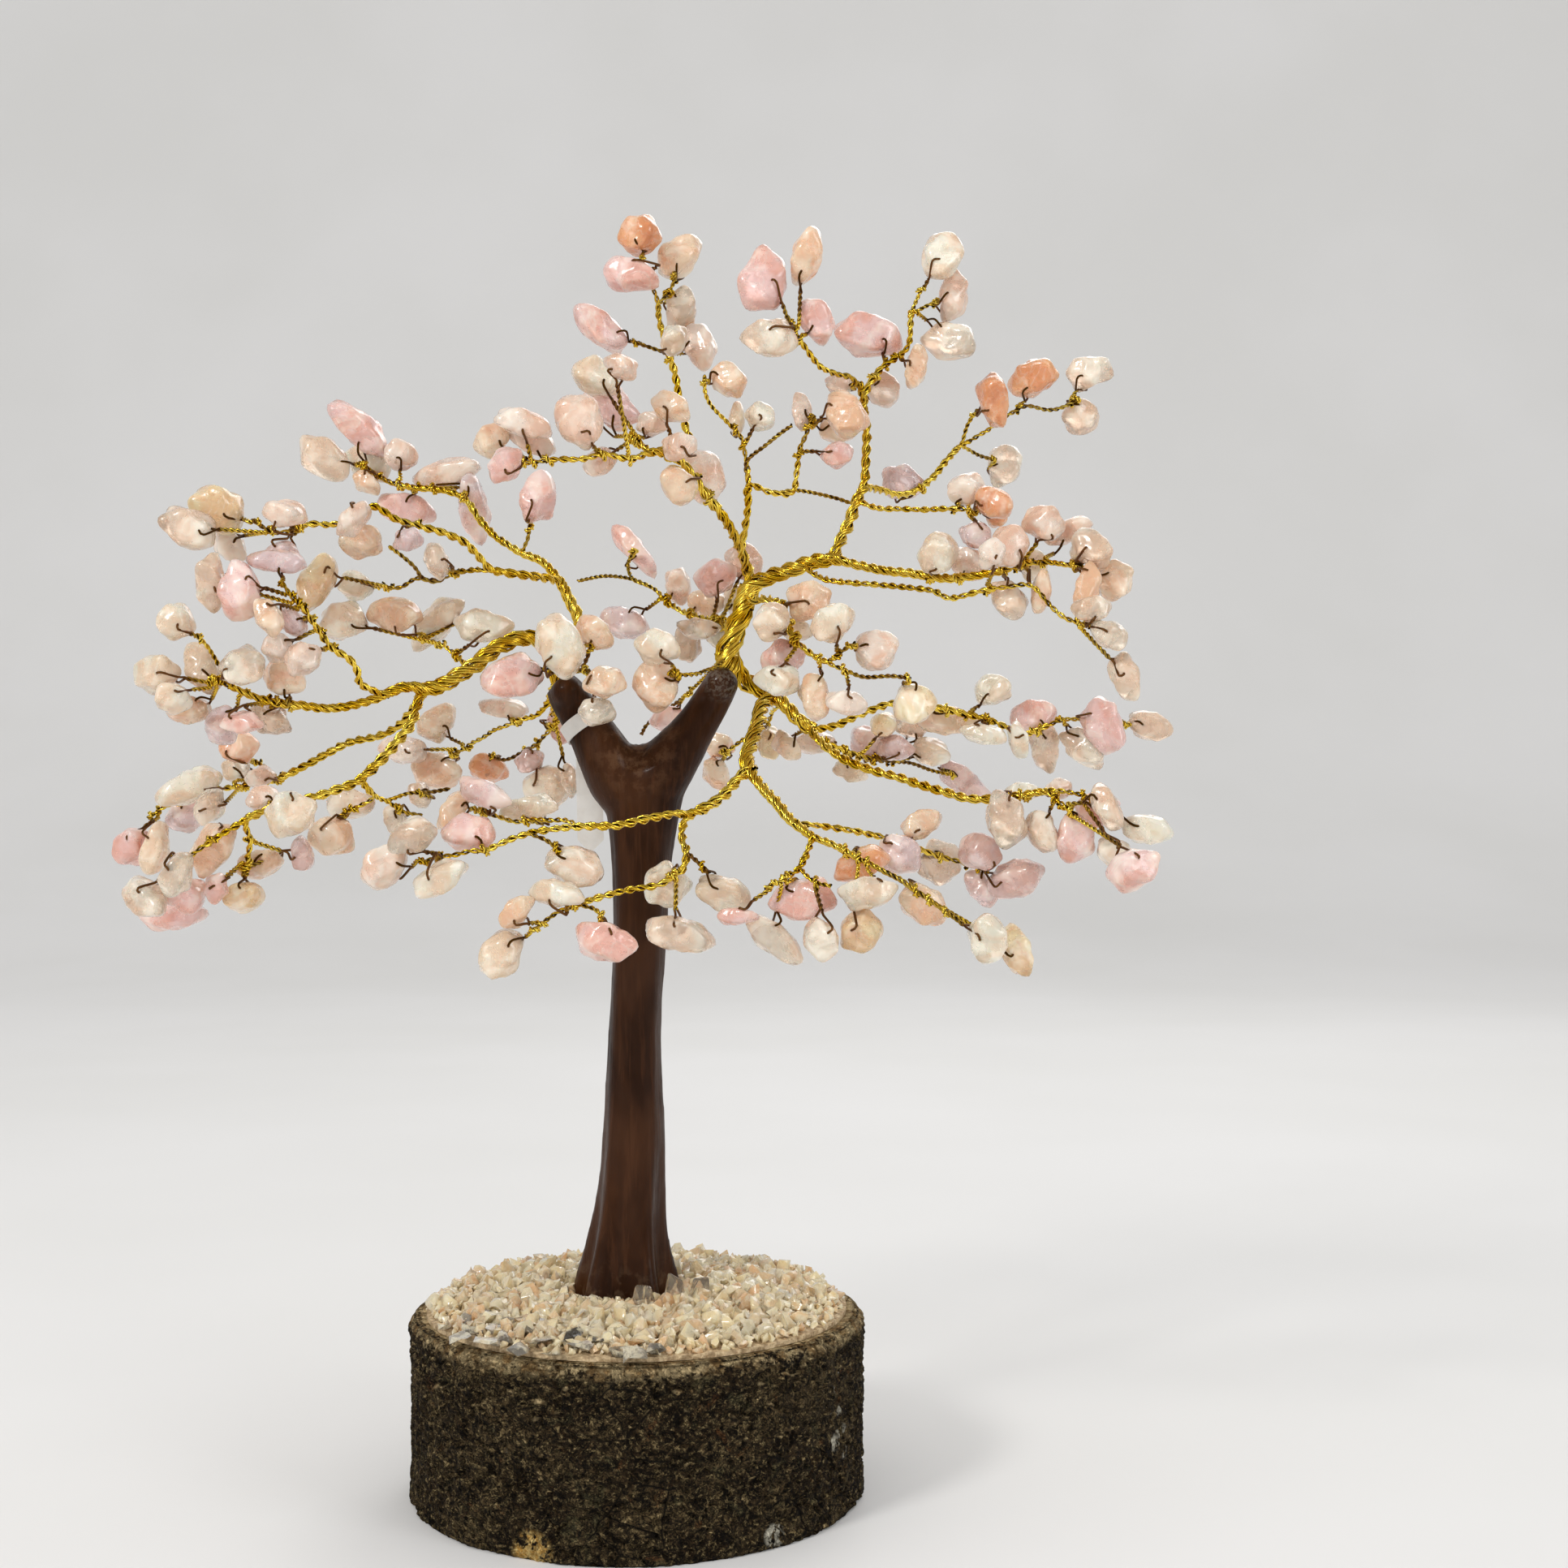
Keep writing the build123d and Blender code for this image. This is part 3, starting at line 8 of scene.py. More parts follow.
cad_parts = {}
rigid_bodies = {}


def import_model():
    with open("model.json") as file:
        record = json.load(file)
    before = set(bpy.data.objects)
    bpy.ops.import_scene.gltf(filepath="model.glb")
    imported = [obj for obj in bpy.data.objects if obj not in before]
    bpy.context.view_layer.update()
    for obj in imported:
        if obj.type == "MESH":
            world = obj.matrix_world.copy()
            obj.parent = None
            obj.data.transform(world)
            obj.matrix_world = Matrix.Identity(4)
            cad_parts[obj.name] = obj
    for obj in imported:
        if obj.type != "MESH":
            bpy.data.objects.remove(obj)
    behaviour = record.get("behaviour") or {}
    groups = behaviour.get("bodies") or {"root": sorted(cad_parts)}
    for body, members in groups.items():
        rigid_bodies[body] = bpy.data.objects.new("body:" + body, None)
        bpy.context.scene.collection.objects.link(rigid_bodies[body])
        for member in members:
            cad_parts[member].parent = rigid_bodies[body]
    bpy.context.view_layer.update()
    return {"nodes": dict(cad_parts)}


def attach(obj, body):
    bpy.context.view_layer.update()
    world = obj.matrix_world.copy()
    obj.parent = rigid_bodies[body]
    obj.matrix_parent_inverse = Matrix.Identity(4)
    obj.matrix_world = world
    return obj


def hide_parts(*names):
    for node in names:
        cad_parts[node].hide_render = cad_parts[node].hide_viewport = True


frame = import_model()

nodes = frame["nodes"]
scene = bpy.context.scene
mm = 0.001
# A fixed seed, so that every run breaks the same bark and the same stones
noise.seed_set(7)

# The picture: the camera stands where the photograph was taken, level, and looks along +Y. A pixel
# of the photograph and a depth behind the trunk's axis give a place on the object.
PICTURE = 1932
FOCAL = 2698
EYE = Vector((27.4, -410, 132)) * mm

camera_data = bpy.data.cameras.new("camera")
camera_data.sensor_width = 36
camera_data.lens = camera_data.sensor_width * FOCAL / PICTURE
camera_data.clip_start = 0.01
camera = bpy.data.objects.new("camera", camera_data)
camera.location = EYE
camera.rotation_euler = (math.pi / 2, 0, 0)
scene.collection.objects.link(camera)
scene.camera = camera


def seen(across, down, depth):
    """The place that shows at this pixel, at this depth behind the trunk's axis."""
    scale = (depth - EYE.y) / FOCAL
    return Vector((EYE.x + (across - PICTURE / 2) * scale, depth,
                   EYE.z + (PICTURE / 2 - down) * scale))


# Materials: a look is a Principled shader with the nodes that drive it. Its values are added,
# subtracted and multiplied like numbers.
class Look:
    """A material being made: its Principled shader and the nodes that drive it."""

    def __init__(self, name, **constants):
        self.material = bpy.data.materials.new(name)
        self.material.use_nodes = True
        self.tree = self.material.node_tree
        self.shader = self.tree.nodes["Principled BSDF"]
        self.output = self.tree.nodes["Material Output"]
        self.set(self.shader, constants)

    def set(self, node, values):
        """Give sockets their values, or link them where the value comes from another node."""
        for name, value in values.items():
            socket = node.inputs[name if isinstance(name, int) else name.replace("_", " ")]
            if isinstance(value, Value):
                self.tree.links.new(value.socket, socket)
            elif isinstance(value, tuple) and len(value) == 3 and socket.type == "RGBA":
                socket.default_value = (*value, 1)
            else:
                socket.default_value = value

    def node(self, kind, settings=None, inputs=None, output=0):
        """Any node of this tree: its type, its settings and its inputs."""
        node = self.tree.nodes.new(kind)
        for name, value in (settings or {}).items():
            setattr(node, name, value)
        self.set(node, inputs or {})
        return Value(self, node.outputs[output])

    def attribute(self, name, output="Fac"):
        """A number or a colour that the mesh keeps at each of its corners."""
        return self.node("ShaderNodeAttribute", {"attribute_name": name}, output=output)

    def place(self, stretch=(1, 1, 1)):
        """The point's place on the object, stretched along the axes."""
        point = self.node("ShaderNodeTexCoord", output="Object")
        return self.node("ShaderNodeVectorMath", {"operation": "MULTIPLY"}, {0: point, 1: stretch})

    def upward(self, vector):
        """The height in a place, or how far a direction faces up."""
        return self.node("ShaderNodeSeparateXYZ", None, {0: vector}, 2)

    def noise(self, scale, detail=4.0, roughness=0.55, distortion=0.0, place=None):
        values = {"Vector": place or self.place(), "Scale": scale, "Detail": detail,
                  "Roughness": roughness, "Distortion": distortion}
        return self.node("ShaderNodeTexNoise", None, values)

    def cells(self, scale, feature="F1", output="Distance", place=None):
        values = {"Vector": place or self.place(), "Scale": scale}
        return self.node("ShaderNodeTexVoronoi", {"feature": feature}, values, output)

    def warp(self, place, scale, amount):
        """A place shifted about by noise."""
        shift = self.node("ShaderNodeTexNoise", None, {"Vector": place, "Scale": scale, "Detail": 3.0}, 1)
        for operation, values in (("SUBTRACT", {1: (0.5, 0.5, 0.5)}), ("SCALE", {"Scale": amount}),
                                  ("ADD", {1: place})):
            shift = self.node("ShaderNodeVectorMath", {"operation": operation}, {0: shift, **values})
        return shift

    def ramp(self, value, low, high, start=0.0, end=1.0):
        """A smooth step of the value between two limits."""
        values = {"Value": value, "From_Min": low, "From_Max": high, "To_Min": start, "To_Max": end}
        return self.node("ShaderNodeMapRange", {"interpolation_type": "SMOOTHSTEP"}, values)

    def lines(self, value, width):
        """Thin winding lines where a noise crosses its middle: one in them, nothing beside them."""
        return self.ramp((value - 0.5).maths("ABSOLUTE"), width, 0.0)

    def spot(self, centre, size, edge=0.3):
        """One at this place, falling to nothing at this distance."""
        point = self.node("ShaderNodeTexCoord", output="Object")
        apart = self.node("ShaderNodeVectorMath", {"operation": "DISTANCE"},
                          {0: point, 1: tuple(centre)}, "Value")
        return self.ramp(apart, size, size * (1 - edge))

    def mix(self, factor, first, second, blend="MIX"):
        """A colour between two, or blended from them."""
        return self.node("ShaderNodeMix", {"data_type": "RGBA", "blend_type": blend},
                         {0: factor, 6: first, 7: second}, 2)

    def bump(self, height, distance, strength=1.0):
        return self.node("ShaderNodeBump", None,
                         {"Height": height, "Distance": distance, "Strength": strength})

    def finish(self, **values):
        """Drive the Principled shader with these, and give the material back."""
        self.set(self.shader, values)
        return self.material


class Value:
    """A number, colour or vector of a material's nodes, with arithmetic for the numbers."""

    def __init__(self, look, socket):
        self.look = look
        self.socket = socket

    def maths(self, operation, *others):
        return self.look.node("ShaderNodeMath", {"operation": operation}, dict(enumerate((self, *others))))

    def __add__(self, other):
        return self.maths("ADD", other)

    def __sub__(self, other):
        return self.maths("SUBTRACT", other)

    def __rsub__(self, other):
        return self.look.node("ShaderNodeMath", {"operation": "SUBTRACT"}, {0: other, 1: self})

    def __mul__(self, other):
        return self.maths("MULTIPLY", other)

    def most(self, other):
        return self.maths("MAXIMUM", other)

    def least(self, other):
        return self.maths("MINIMUM", other)

    __radd__ = __add__
    __rmul__ = __mul__


def colour(red, green, blue):
    """A screen colour, from 0 to 255 each, as the shader's linear one."""
    return tuple((share / 255 / 12.92) if share < 10.3 else ((share / 255 + 0.055) / 1.055) ** 2.4
                 for share in (red, green, blue))


# Studio: a pale floor that bends up into the backdrop, a soft key lamp from the left, a fill lamp
# from the right, one from behind that shines into the stones, and a pale sky. Wires and stones
# mirror a darker sky than the one that lights them, so that their edges show.
FLOOR_ROWS = ((-1, 0), (0.5, 0), (0.9, 0), (1.2, 0), (1.6, 0.12), (1.85, 0.45), (2.0, 1.0), (2.0, 3.5))
FLOOR_START = -3
FLOOR_HALF = 4
TREE_MIDDLE = Vector((0, 0, 0.13))
SKY = 0.78
MIRRORED_SKY = 0.28

floor_look = Look("studio_floor", Roughness=0.75)
floor_look.finish(Base_Color=floor_look.mix(floor_look.ramp(floor_look.noise(3.0, 3.0), 0.3, 0.7),
                                            colour(228, 227, 225), colour(233, 232, 231)))
sweep = bmesh.new()
row = [sweep.verts.new((side, FLOOR_START, 0)) for side in (-FLOOR_HALF, FLOOR_HALF)]
for depth, height in FLOOR_ROWS:
    after = [sweep.verts.new((side, depth, height)) for side in (-FLOOR_HALF, FLOOR_HALF)]
    sweep.faces.new((row[0], row[1], after[1], after[0]))
    row = after
bmesh.ops.recalc_face_normals(sweep, faces=sweep.faces)
sweep_mesh = bpy.data.meshes.new("studio_floor")
sweep.to_mesh(sweep_mesh)
sweep.free()
sweep_mesh.shade_smooth()
sweep_mesh.materials.append(floor_look.material)
studio = bpy.data.objects.new("studio_floor", sweep_mesh)
scene.collection.objects.link(studio)
rounded = studio.modifiers.new("rounded", "SUBSURF")
rounded.levels = 3
rounded.render_levels = 3

for name, place, size, power, tint in (
        ("key", (-0.62, -0.75, 0.75), 0.22, 5.0, (1.0, 0.985, 0.96)),
        ("fill", (0.8, -0.6, 0.45), 0.4, 2.3, (0.97, 0.985, 1.0)),
        ("back", (0.25, 0.75, 0.7), 0.5, 1.6, (1.0, 1.0, 1.0))):
    lamp_data = bpy.data.lights.new(name, "AREA")
    lamp_data.size = size
    lamp_data.energy = power
    lamp_data.color = tint
    lamp = bpy.data.objects.new(name, lamp_data)
    lamp.location = place
    lamp.rotation_euler = (TREE_MIDDLE - Vector(place)).to_track_quat("-Z", "Y").to_euler()
    scene.collection.objects.link(lamp)

world = bpy.data.worlds.new("studio")
scene.world = world
world.use_nodes = True
sky = world.node_tree.nodes["Background"]
sky.inputs["Color"].default_value = (1, 1, 1, 1)
rays = world.node_tree.nodes.new("ShaderNodeLightPath")
strength = world.node_tree.nodes.new("ShaderNodeMath")
strength.operation = "MULTIPLY_ADD"
strength.inputs[1].default_value = MIRRORED_SKY - SKY
strength.inputs[2].default_value = SKY
world.node_tree.links.new(rays.outputs["Is Glossy Ray"], strength.inputs[0])
world.node_tree.links.new(strength.outputs[0], sky.inputs["Strength"])
scene.view_settings.view_transform = "Standard"

# Log: a slice of a branch with its bark on. The outline is the solid's, and the bark stands out in
# flakes with cracks between them. Its top is sawn wood, worn pale at the rim.
LOG_HEIGHT = 34 * mm
LOG_RADIUS = 42 * mm
RIM_WEAR = 1.6 * mm
LOG_SHARES = (1.0, 0.985, 0.99, 1.0, 0.985, 0.975, 1.0, 0.99, 0.98, 0.995, 0.985, 0.99)
BARK_AROUND = 560
BARK_ROWS = 84
TOP_RINGS = (0.985, 0.96, 0.9, 0.7, 0.4, 0.15)
LICHEN = ((1032, 1712, 1.1), (1036, 1738, 1.3), (1038, 1762, 1.8), (1030, 1778, 1.9),
          (1043, 1790, 1.5), (1026, 1745, 0.9), (1037, 1690, 0.9), (620, 1790, 1.2))


def on_log(across, down):
    """The place on the bark's front that shows at this pixel."""
    depth = -LOG_RADIUS
    for _ in range(8):
        place = seen(across, down, depth)
        depth = -math.sqrt(max(LOG_RADIUS ** 2 - place.x ** 2, 0))
    return seen(across, down, depth)


def log_share(angle):
    """How far out the log's outline lies at this angle, as a share of its radius."""
    turn = angle / (2 * math.pi) * len(LOG_SHARES) % len(LOG_SHARES)
    number = int(turn)
    rest = turn - number
    rest = rest * rest * (3 - 2 * rest)
    after = LOG_SHARES[(number + 1) % len(LOG_SHARES)]
    return LOG_SHARES[number] * (1 - rest) + after * rest


def bark_height(place):
    """How far the bark stands out here: crumpled flakes, coarse and fine, over broad swells."""
    grain = Vector((place.x, place.y, place.z * 1.1)) / mm
    grain += noise.noise_vector(grain / 3.1) * 1.5 + noise.noise_vector(grain / 1.1) * 0.5
    crumple = 1 - abs(noise.noise(grain / 2.7)) * 2.6
    crease = 1 - abs(noise.noise(grain / 1.25 + Vector((9, 4, 2)))) * 2.4
    near, _ = noise.voronoi(grain / 6.5)
    split = min(max(noise.noise(grain / 11 + Vector((3, 7, 5))) * 3 + 0.5, 0), 1)
    crack = 1 - split * (1 - min((near[1] - near[0]) / 0.09, 1))
    swell = noise.noise(grain / 13) + 0.5 * noise.noise(grain / 6)
    return (0.9 * crack - 0.5 * max(crumple, 0) ** 2 - 0.42 * max(crease, 0) ** 2 + 0.6 * swell - 0.65) * mm


def add_object(name, mesh, look, replaces=()):
    """A new piece of the object from a mesh: it rides on the only body and takes its material."""
    piece = bpy.data.objects.new(name, mesh)
    scene.collection.objects.link(piece)
    mesh.materials.append(look)
    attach(piece, "root")
    if replaces:
        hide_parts(*replaces)
    return piece


log = bmesh.new()
bmesh.ops.create_cone(log, cap_ends=True, cap_tris=False, segments=BARK_AROUND, radius1=1, radius2=1,
                      depth=1)
upright = [edge for edge in log.edges if abs(edge.verts[0].co.z - edge.verts[1].co.z) > 0.5]
bmesh.ops.subdivide_edges(log, edges=upright, cuts=BARK_ROWS, use_grid_fill=True)
for cap in [face for face in log.faces if len(face.verts) > 4]:
    for share in TOP_RINGS:
        before = max(vert.co.xy.length for vert in cap.verts)
        bmesh.ops.inset_region(log, faces=[cap], thickness=before - share)
for vert in log.verts:
    share = vert.co.xy.length
    angle = math.atan2(vert.co.y, vert.co.x)
    radius = LOG_RADIUS * log_share(angle)
    height = (vert.co.z + 0.5) * LOG_HEIGHT
    place = Vector((radius * share * math.cos(angle), radius * share * math.sin(angle), height))
    if share > 0.99:
        outward = Vector((math.cos(angle), math.sin(angle), 0))
        worn = max(0, 1 - (LOG_HEIGHT - height) / (1.6 * RIM_WEAR)) ** 2
        sole = max(0, 1 - height / (0.8 * mm)) ** 2
        place += outward * (bark_height(place) - (worn * 1.4 + sole * 0.5) * mm)
    elif height > LOG_HEIGHT / 2:
        place.z -= (0.12 + 0.2 * noise.noise(place / mm / 3)) * mm + 0.25 * mm * (share > 0.97)
    vert.co = place
bmesh.ops.recalc_face_normals(log, faces=log.faces)
log_mesh = bpy.data.meshes.new("log_bark")
log.to_mesh(log_mesh)
log.free()
log_mesh.shade_smooth()

bark = Look("bark_wood", Specular_IOR_Level=0.12)
grain = bark.warp(bark.place((1, 1, 1.15)), 420, 1.0 * mm)
flecks = bark.noise(980, 6, 0.7, 0.1, grain)
flakes = bark.noise(430, 6, 0.72, 0.25, grain)
broad = bark.noise(95, 4, 0.6)
plates = bark.ramp(bark.cells(120, "DISTANCE_TO_EDGE", "Distance", grain), 0.045, 0.0)
plates = plates * bark.ramp(bark.noise(80, 3), 0.46, 0.56)
cracks = bark.lines(bark.noise(330, 6, 0.68, 1.3, grain), 0.035)
cracks = cracks.most(bark.lines(bark.noise(800, 6, 0.68, 1.3, grain), 0.04) * 0.8).most(plates)
tone = bark.mix(bark.ramp(broad, 0.36, 0.64), colour(56, 42, 25), colour(96, 80, 54))
# Painted shade: the bark is darkened where the flake noise is low, the same places that its bump sinks.
tone = bark.mix(bark.ramp(flakes, 0.51, 0.43) * 0.9, tone, colour(24, 16, 8))
# Pale specks on the raised flecks, palest where the flakes stand high too: real pale specks and painted
# highlights on the raised bark.
tone = bark.mix(bark.ramp(flecks, 0.5, 0.62), tone, colour(138, 120, 84))
tone = bark.mix(bark.ramp(flecks, 0.58, 0.68) * bark.ramp(flakes, 0.48, 0.58), tone,
                colour(206, 180, 132))
tone = bark.mix(bark.ramp(bark.noise(210, 5, 0.65), 0.56, 0.68) * 0.6, tone, colour(100, 94, 66))
tone = bark.mix(bark.ramp(bark.noise(180, 5, 0.65, 0.4), 0.6, 0.7) * 0.6, tone, colour(112, 72, 38))
# Painted shade: the cracks, which the bump also sinks, are painted near black.
tone = bark.mix(cracks, tone, colour(12, 8, 4))
lichen = bark.spot(on_log(957, 1893), 2.6 * mm)
for across, down, size in LICHEN:
    lichen = lichen + bark.spot(on_log(across, down), size * mm, 0.5)
patchy = bark.ramp(bark.noise(760, 4, 0.6, 0.0, bark.place((1, 1, 0.6))), 0.44, 0.54)
tone = bark.mix(lichen.least(1) * patchy, tone, colour(214, 208, 188))
ochre = bark.spot(on_log(652, 1916), 4.6 * mm, 0.4) * bark.ramp(bark.noise(520, 4, 0.6), 0.43, 0.5)
ochre_tone = bark.mix(bark.ramp(flecks, 0.4, 0.6), colour(208, 158, 78), colour(240, 208, 136))
tone = bark.mix(ochre, tone, ochre_tone)
height_here = bark.upward(bark.place())
facing_up = bark.upward(bark.node("ShaderNodeNewGeometry", output="Normal"))
sawn_tone = bark.mix(bark.ramp(bark.noise(360, 5, 0.65), 0.38, 0.58), colour(156, 124, 80),
                     colour(230, 204, 154))
sawn = bark.ramp(facing_up, 0.35, 0.8) * bark.ramp(height_here, 0.5 * LOG_HEIGHT, 0.95 * LOG_HEIGHT)
worn = bark.ramp(height_here, LOG_HEIGHT - 3.4 * mm, LOG_HEIGHT - 0.8 * mm)
worn = worn * bark.ramp(flecks + broad * 0.5, 0.66, 0.8)
tone = bark.mix(sawn.most(worn * 0.9), tone, sawn_tone)
add_object("log_bark", log_mesh, bark.finish(
    Base_Color=tone, Roughness=bark.ramp(flecks, 0.3, 0.7, 0.72, 0.95),
    Normal=bark.bump(flakes + flecks * 0.6 - cracks * 0.7, 1.1 * mm)), ["log_base"])

# Gravel: crushed quartz glued on the log's top in a low dome. The grains are small broken stones,
# each turned, squeezed and knocked out of shape its own way, and smaller at the rim and the foot.
BED_RADIUS = 39 * mm
BED_RISE = 3.2 * mm
BED_EDGE = 0.8 * mm
FOOT = Vector((-2.29, 0, 0)) * mm
FOOT_RADIUS = 10.5 * mm
GOLDEN = (math.sqrt(5) - 1) / 2
GRAIN_COUNT = 2100
GRAIN_MARGIN = 0.7 * mm
GRAIN_ROOM = 5 * mm


def draw(number, use):
    """An even spread of numbers from 0 to 1, one for each count and use."""
    return (number * GOLDEN + use * 0.377 + 0.5 * noise.cell(Vector((number * 1.7, use * 3.1, 0.5)))) % 1


def bed_height(distance):
    """The dome's height this far from the log's middle."""
    return LOG_HEIGHT + BED_EDGE + (BED_RISE - BED_EDGE) * (1 - min(distance / BED_RADIUS, 1) ** 2)


def turned(number):
    """A turn of its own for each stone."""
    return (Matrix.Rotation(2 * math.pi * draw(number, 1), 4, "X")
            @ Matrix.Rotation(2 * math.pi * draw(number, 2), 4, "Y")
            @ Matrix.Rotation(2 * math.pi * draw(number, 3), 4, "Z"))


class Stones:
    """Many crushed stones in one mesh. They are made a few at a time, then gathered."""

    FEW = 60

    def __init__(self, name, fineness=1):
        self.mesh = bpy.data.meshes.new(name)
        self.fineness = fineness
        self.start()

    def start(self):
        self.few = bmesh.new()
        self.own = self.few.verts.layers.float.new("own")
        self.count = 0

    def add(self, number, place, size, flat, turn=None):
        """One stone: a coarse ball, squeezed, turned and knocked out of shape, with its own shade."""
        shape = Matrix.Diagonal((1, 0.62 + 0.38 * draw(number, 4), flat, 1))
        matrix = Matrix.Translation(place) @ (turn or turned(number)) @ shape
        made = bmesh.ops.create_icosphere(self.few, subdivisions=self.fineness, radius=size / 2,
                                          matrix=matrix)
        for vert in made["verts"]:
            push = noise.noise_vector((vert.co - place) / size * 2.3 + Vector((number * 2.3, 0.5, 0.5)))
            vert.co += push * size * 0.38
            vert[self.own] = draw(number, 9)
        self.count += 1
        if self.count == self.FEW:
            self.gather()

    def gather(self):
        bmesh.ops.recalc_face_normals(self.few, faces=self.few.faces)
        few_mesh = bpy.data.meshes.new("few_stones")
        self.few.to_mesh(few_mesh)
        self.few.clear()
        self.few.from_mesh(self.mesh)
        self.few.from_mesh(few_mesh)
        self.few.to_mesh(self.mesh)
        self.few.free()
        bpy.data.meshes.remove(few_mesh)
        self.start()

    def finish(self, sharp):
        self.gather()
        self.few.free()
        self.mesh.shade_smooth()
        self.mesh.set_sharp_from_angle(angle=math.radians(sharp))
        return self.mesh


def gravel_look(name, light, dark, clear):
    """Crushed quartz: pale and glassy, with a tint of its own for each grain."""
    look = Look(name, IOR=1.5, Transmission_Weight=clear, Coat_Roughness=0.04, Subsurface_Weight=0.35,
                Subsurface_Scale=1.0 * mm, Subsurface_Radius=(1.0, 0.9, 0.75))
    own = look.attribute("own")
    cloud = look.noise(420, 4, 0.6)
    tone = look.mix(look.ramp(own, 0.0, 0.6), dark, light)
    tone = look.mix(look.ramp(cloud, 0.47, 0.62) * 0.6, tone, colour(255, 244, 212))
    tone = look.mix(look.ramp(look.noise(240, 3), 0.56, 0.72) * 0.35, tone, colour(240, 200, 130))
    tone = look.mix(look.ramp(look.noise(200, 3), 0.4, 0.3) * 0.3, tone, colour(240, 212, 194))
    return look.finish(Base_Color=tone, Roughness=look.ramp(cloud, 0.3, 0.7, 0.05, 0.24),
                       Coat_Weight=look.ramp(own, 0.0, 1.0, 0.5, 1.0),
                       Normal=look.bump(look.noise(900, 4), 0.5 * mm))


grains = Stones("gravel_grains")
for number in range(GRAIN_COUNT):
    distance = (BED_RADIUS - GRAIN_MARGIN) * math.sqrt((number + 0.5) / GRAIN_COUNT)
    angle = 2 * math.pi * GOLDEN * number
    across = distance * math.cos(angle) + (draw(number, 5) - 0.5) * mm
    depth = distance * math.sin(angle) + (draw(number, 6) - 0.5) * mm
    beside = (Vector((across, depth, 0)) - FOOT).length - FOOT_RADIUS
    if beside < -0.8 * mm:
        continue
    room = min(1, (BED_RADIUS - distance) / GRAIN_ROOM, (beside + mm) / GRAIN_ROOM)
    size = (1.6 + 0.4 * room + 2.6 * draw(number, 7) ** 2 * room) * mm
    place = Vector((across, depth, bed_height(distance) + (0.4 * draw(number, 8) - 0.02) * size))
    grains.add(number, place, size, 0.55)
add_object("gravel_grains", grains.finish(70),
           gravel_look("crushed_stone", colour(255, 232, 186), colour(230, 186, 138), 0.22))

# Larger stones: lumps of the same quartz that lie on the gravel, glued down with it. Six are strewn
# round the place of each stone that the solid bed has.
LUMPS_EACH = 6
LUMP_SPREAD = 8.4 * mm
FIRST_LUMP = 5000


def islands(node):
    """A node's mesh with its corners merged, and the corners of each solid in it."""
    whole = bmesh.new()
    whole.from_mesh(nodes[node].data)
    bmesh.ops.remove_doubles(whole, verts=whole.verts, dist=0.0005 * mm)
    whole.verts.index_update()
    left = set(whole.verts)
    found = []
    while left:
        reached = [left.pop()]
        corners = []
        while reached:
            vert = reached.pop()
            corners.append(vert)
            for edge in vert.link_edges:
                other = edge.other_vert(vert)
                if other in left:
                    left.discard(other)
                    reached.append(other)
        found.append(sorted(corners, key=lambda corner: corner.index))
    found.sort(key=lambda corners: min(tuple(corner.co) for corner in corners))
    return whole, found


def middle_of(corners):
    return sum((corner.co for corner in corners), Vector()) / len(corners)


lumps = Stones("gravel_larger", 2)
whole, solids = islands("gravel_stones")
for number, corners in enumerate(solids):
    for turn in range(LUMPS_EACH):
        shift = Vector((draw(number, 10 + turn) - 0.5, draw(number, 17 + turn) - 0.5, 0)) * LUMP_SPREAD
        size = (2.5 + 1.9 * draw(number, 24 + turn)) * mm
        place = middle_of(corners) + shift
        if (place.xy.length > BED_RADIUS - 1.2 * mm
                or (place.xy - FOOT.xy).length < FOOT_RADIUS + 1.5 * mm):
            continue
        place.z = bed_height(place.xy.length) + 1.1 * mm
        lumps.add(FIRST_LUMP + LUMPS_EACH * number + turn, place, size, 0.62)
whole.free()
add_object("gravel_larger", lumps.finish(60),
           gravel_look("crushed_stone_larger", colour(255, 236, 198), colour(236, 200, 154), 0.35),
           ["gravel_stones"])

# Flakes: thin grey splinters of stone, glued flat among the gravel at the left of the front. Each
# lies where one shows, at the height that the dome has there.
FLAKES = ((548, 1634), (566, 1648), (584, 1640), (598, 1655), (612, 1636), (624, 1648), (640, 1660),
          (652, 1640), (668, 1652), (684, 1664), (700, 1648), (716, 1660), (736, 1652), (600, 1622),
          (576, 1626), (632, 1628), (760, 1664), (780, 1668), (806, 1664), (664, 1632))
FIRST_FLAKE = 9000

splinters = Stones("gravel_flakes")
for number, (across, down) in enumerate(FLAKES):
    place = seen(across, down, -20 * mm)
    for _ in range(6):
        height = bed_height(place.xy.length) + 1.1 * mm
        place = seen(across, down, EYE.y + (EYE.z - height) * FOCAL / (down - PICTURE / 2))
    turn = (Matrix.Rotation(2 * math.pi * draw(number, 20), 4, "Z")
            @ Matrix.Rotation(0.9 * (draw(number, 21) - 0.5), 4, "X"))
    splinters.add(FIRST_FLAKE + number, place, (3.4 + 1.8 * draw(number, 22)) * mm, 0.26, turn)
add_object("gravel_flakes", splinters.finish(40),
           gravel_look("grey_flakes", colour(158, 150, 134), colour(66, 60, 50), 0.2))


# Gravel bed: the layer of glue and stone dust that holds the grains, a low dome with a rough top.
# It keeps its solid and takes its material here.
def dress(node, look):
    """Give its material to a node that keeps its solid."""
    nodes[node].data.materials.clear()
    nodes[node].data.materials.append(look)


bed_look = Look("gravel_bed")
bed_tone = bed_look.mix(bed_look.ramp(bed_look.noise(900, 4, 0.7), 0.35, 0.65), colour(150, 124, 90),
                        colour(214, 190, 150))
dress("gravel_bed", bed_look.finish(
    Base_Color=bed_tone, Roughness=bed_look.ramp(bed_look.noise(700), 0.3, 0.7, 0.5, 0.9),
    Normal=bed_look.bump(bed_look.cells(700), 0.6 * mm)))

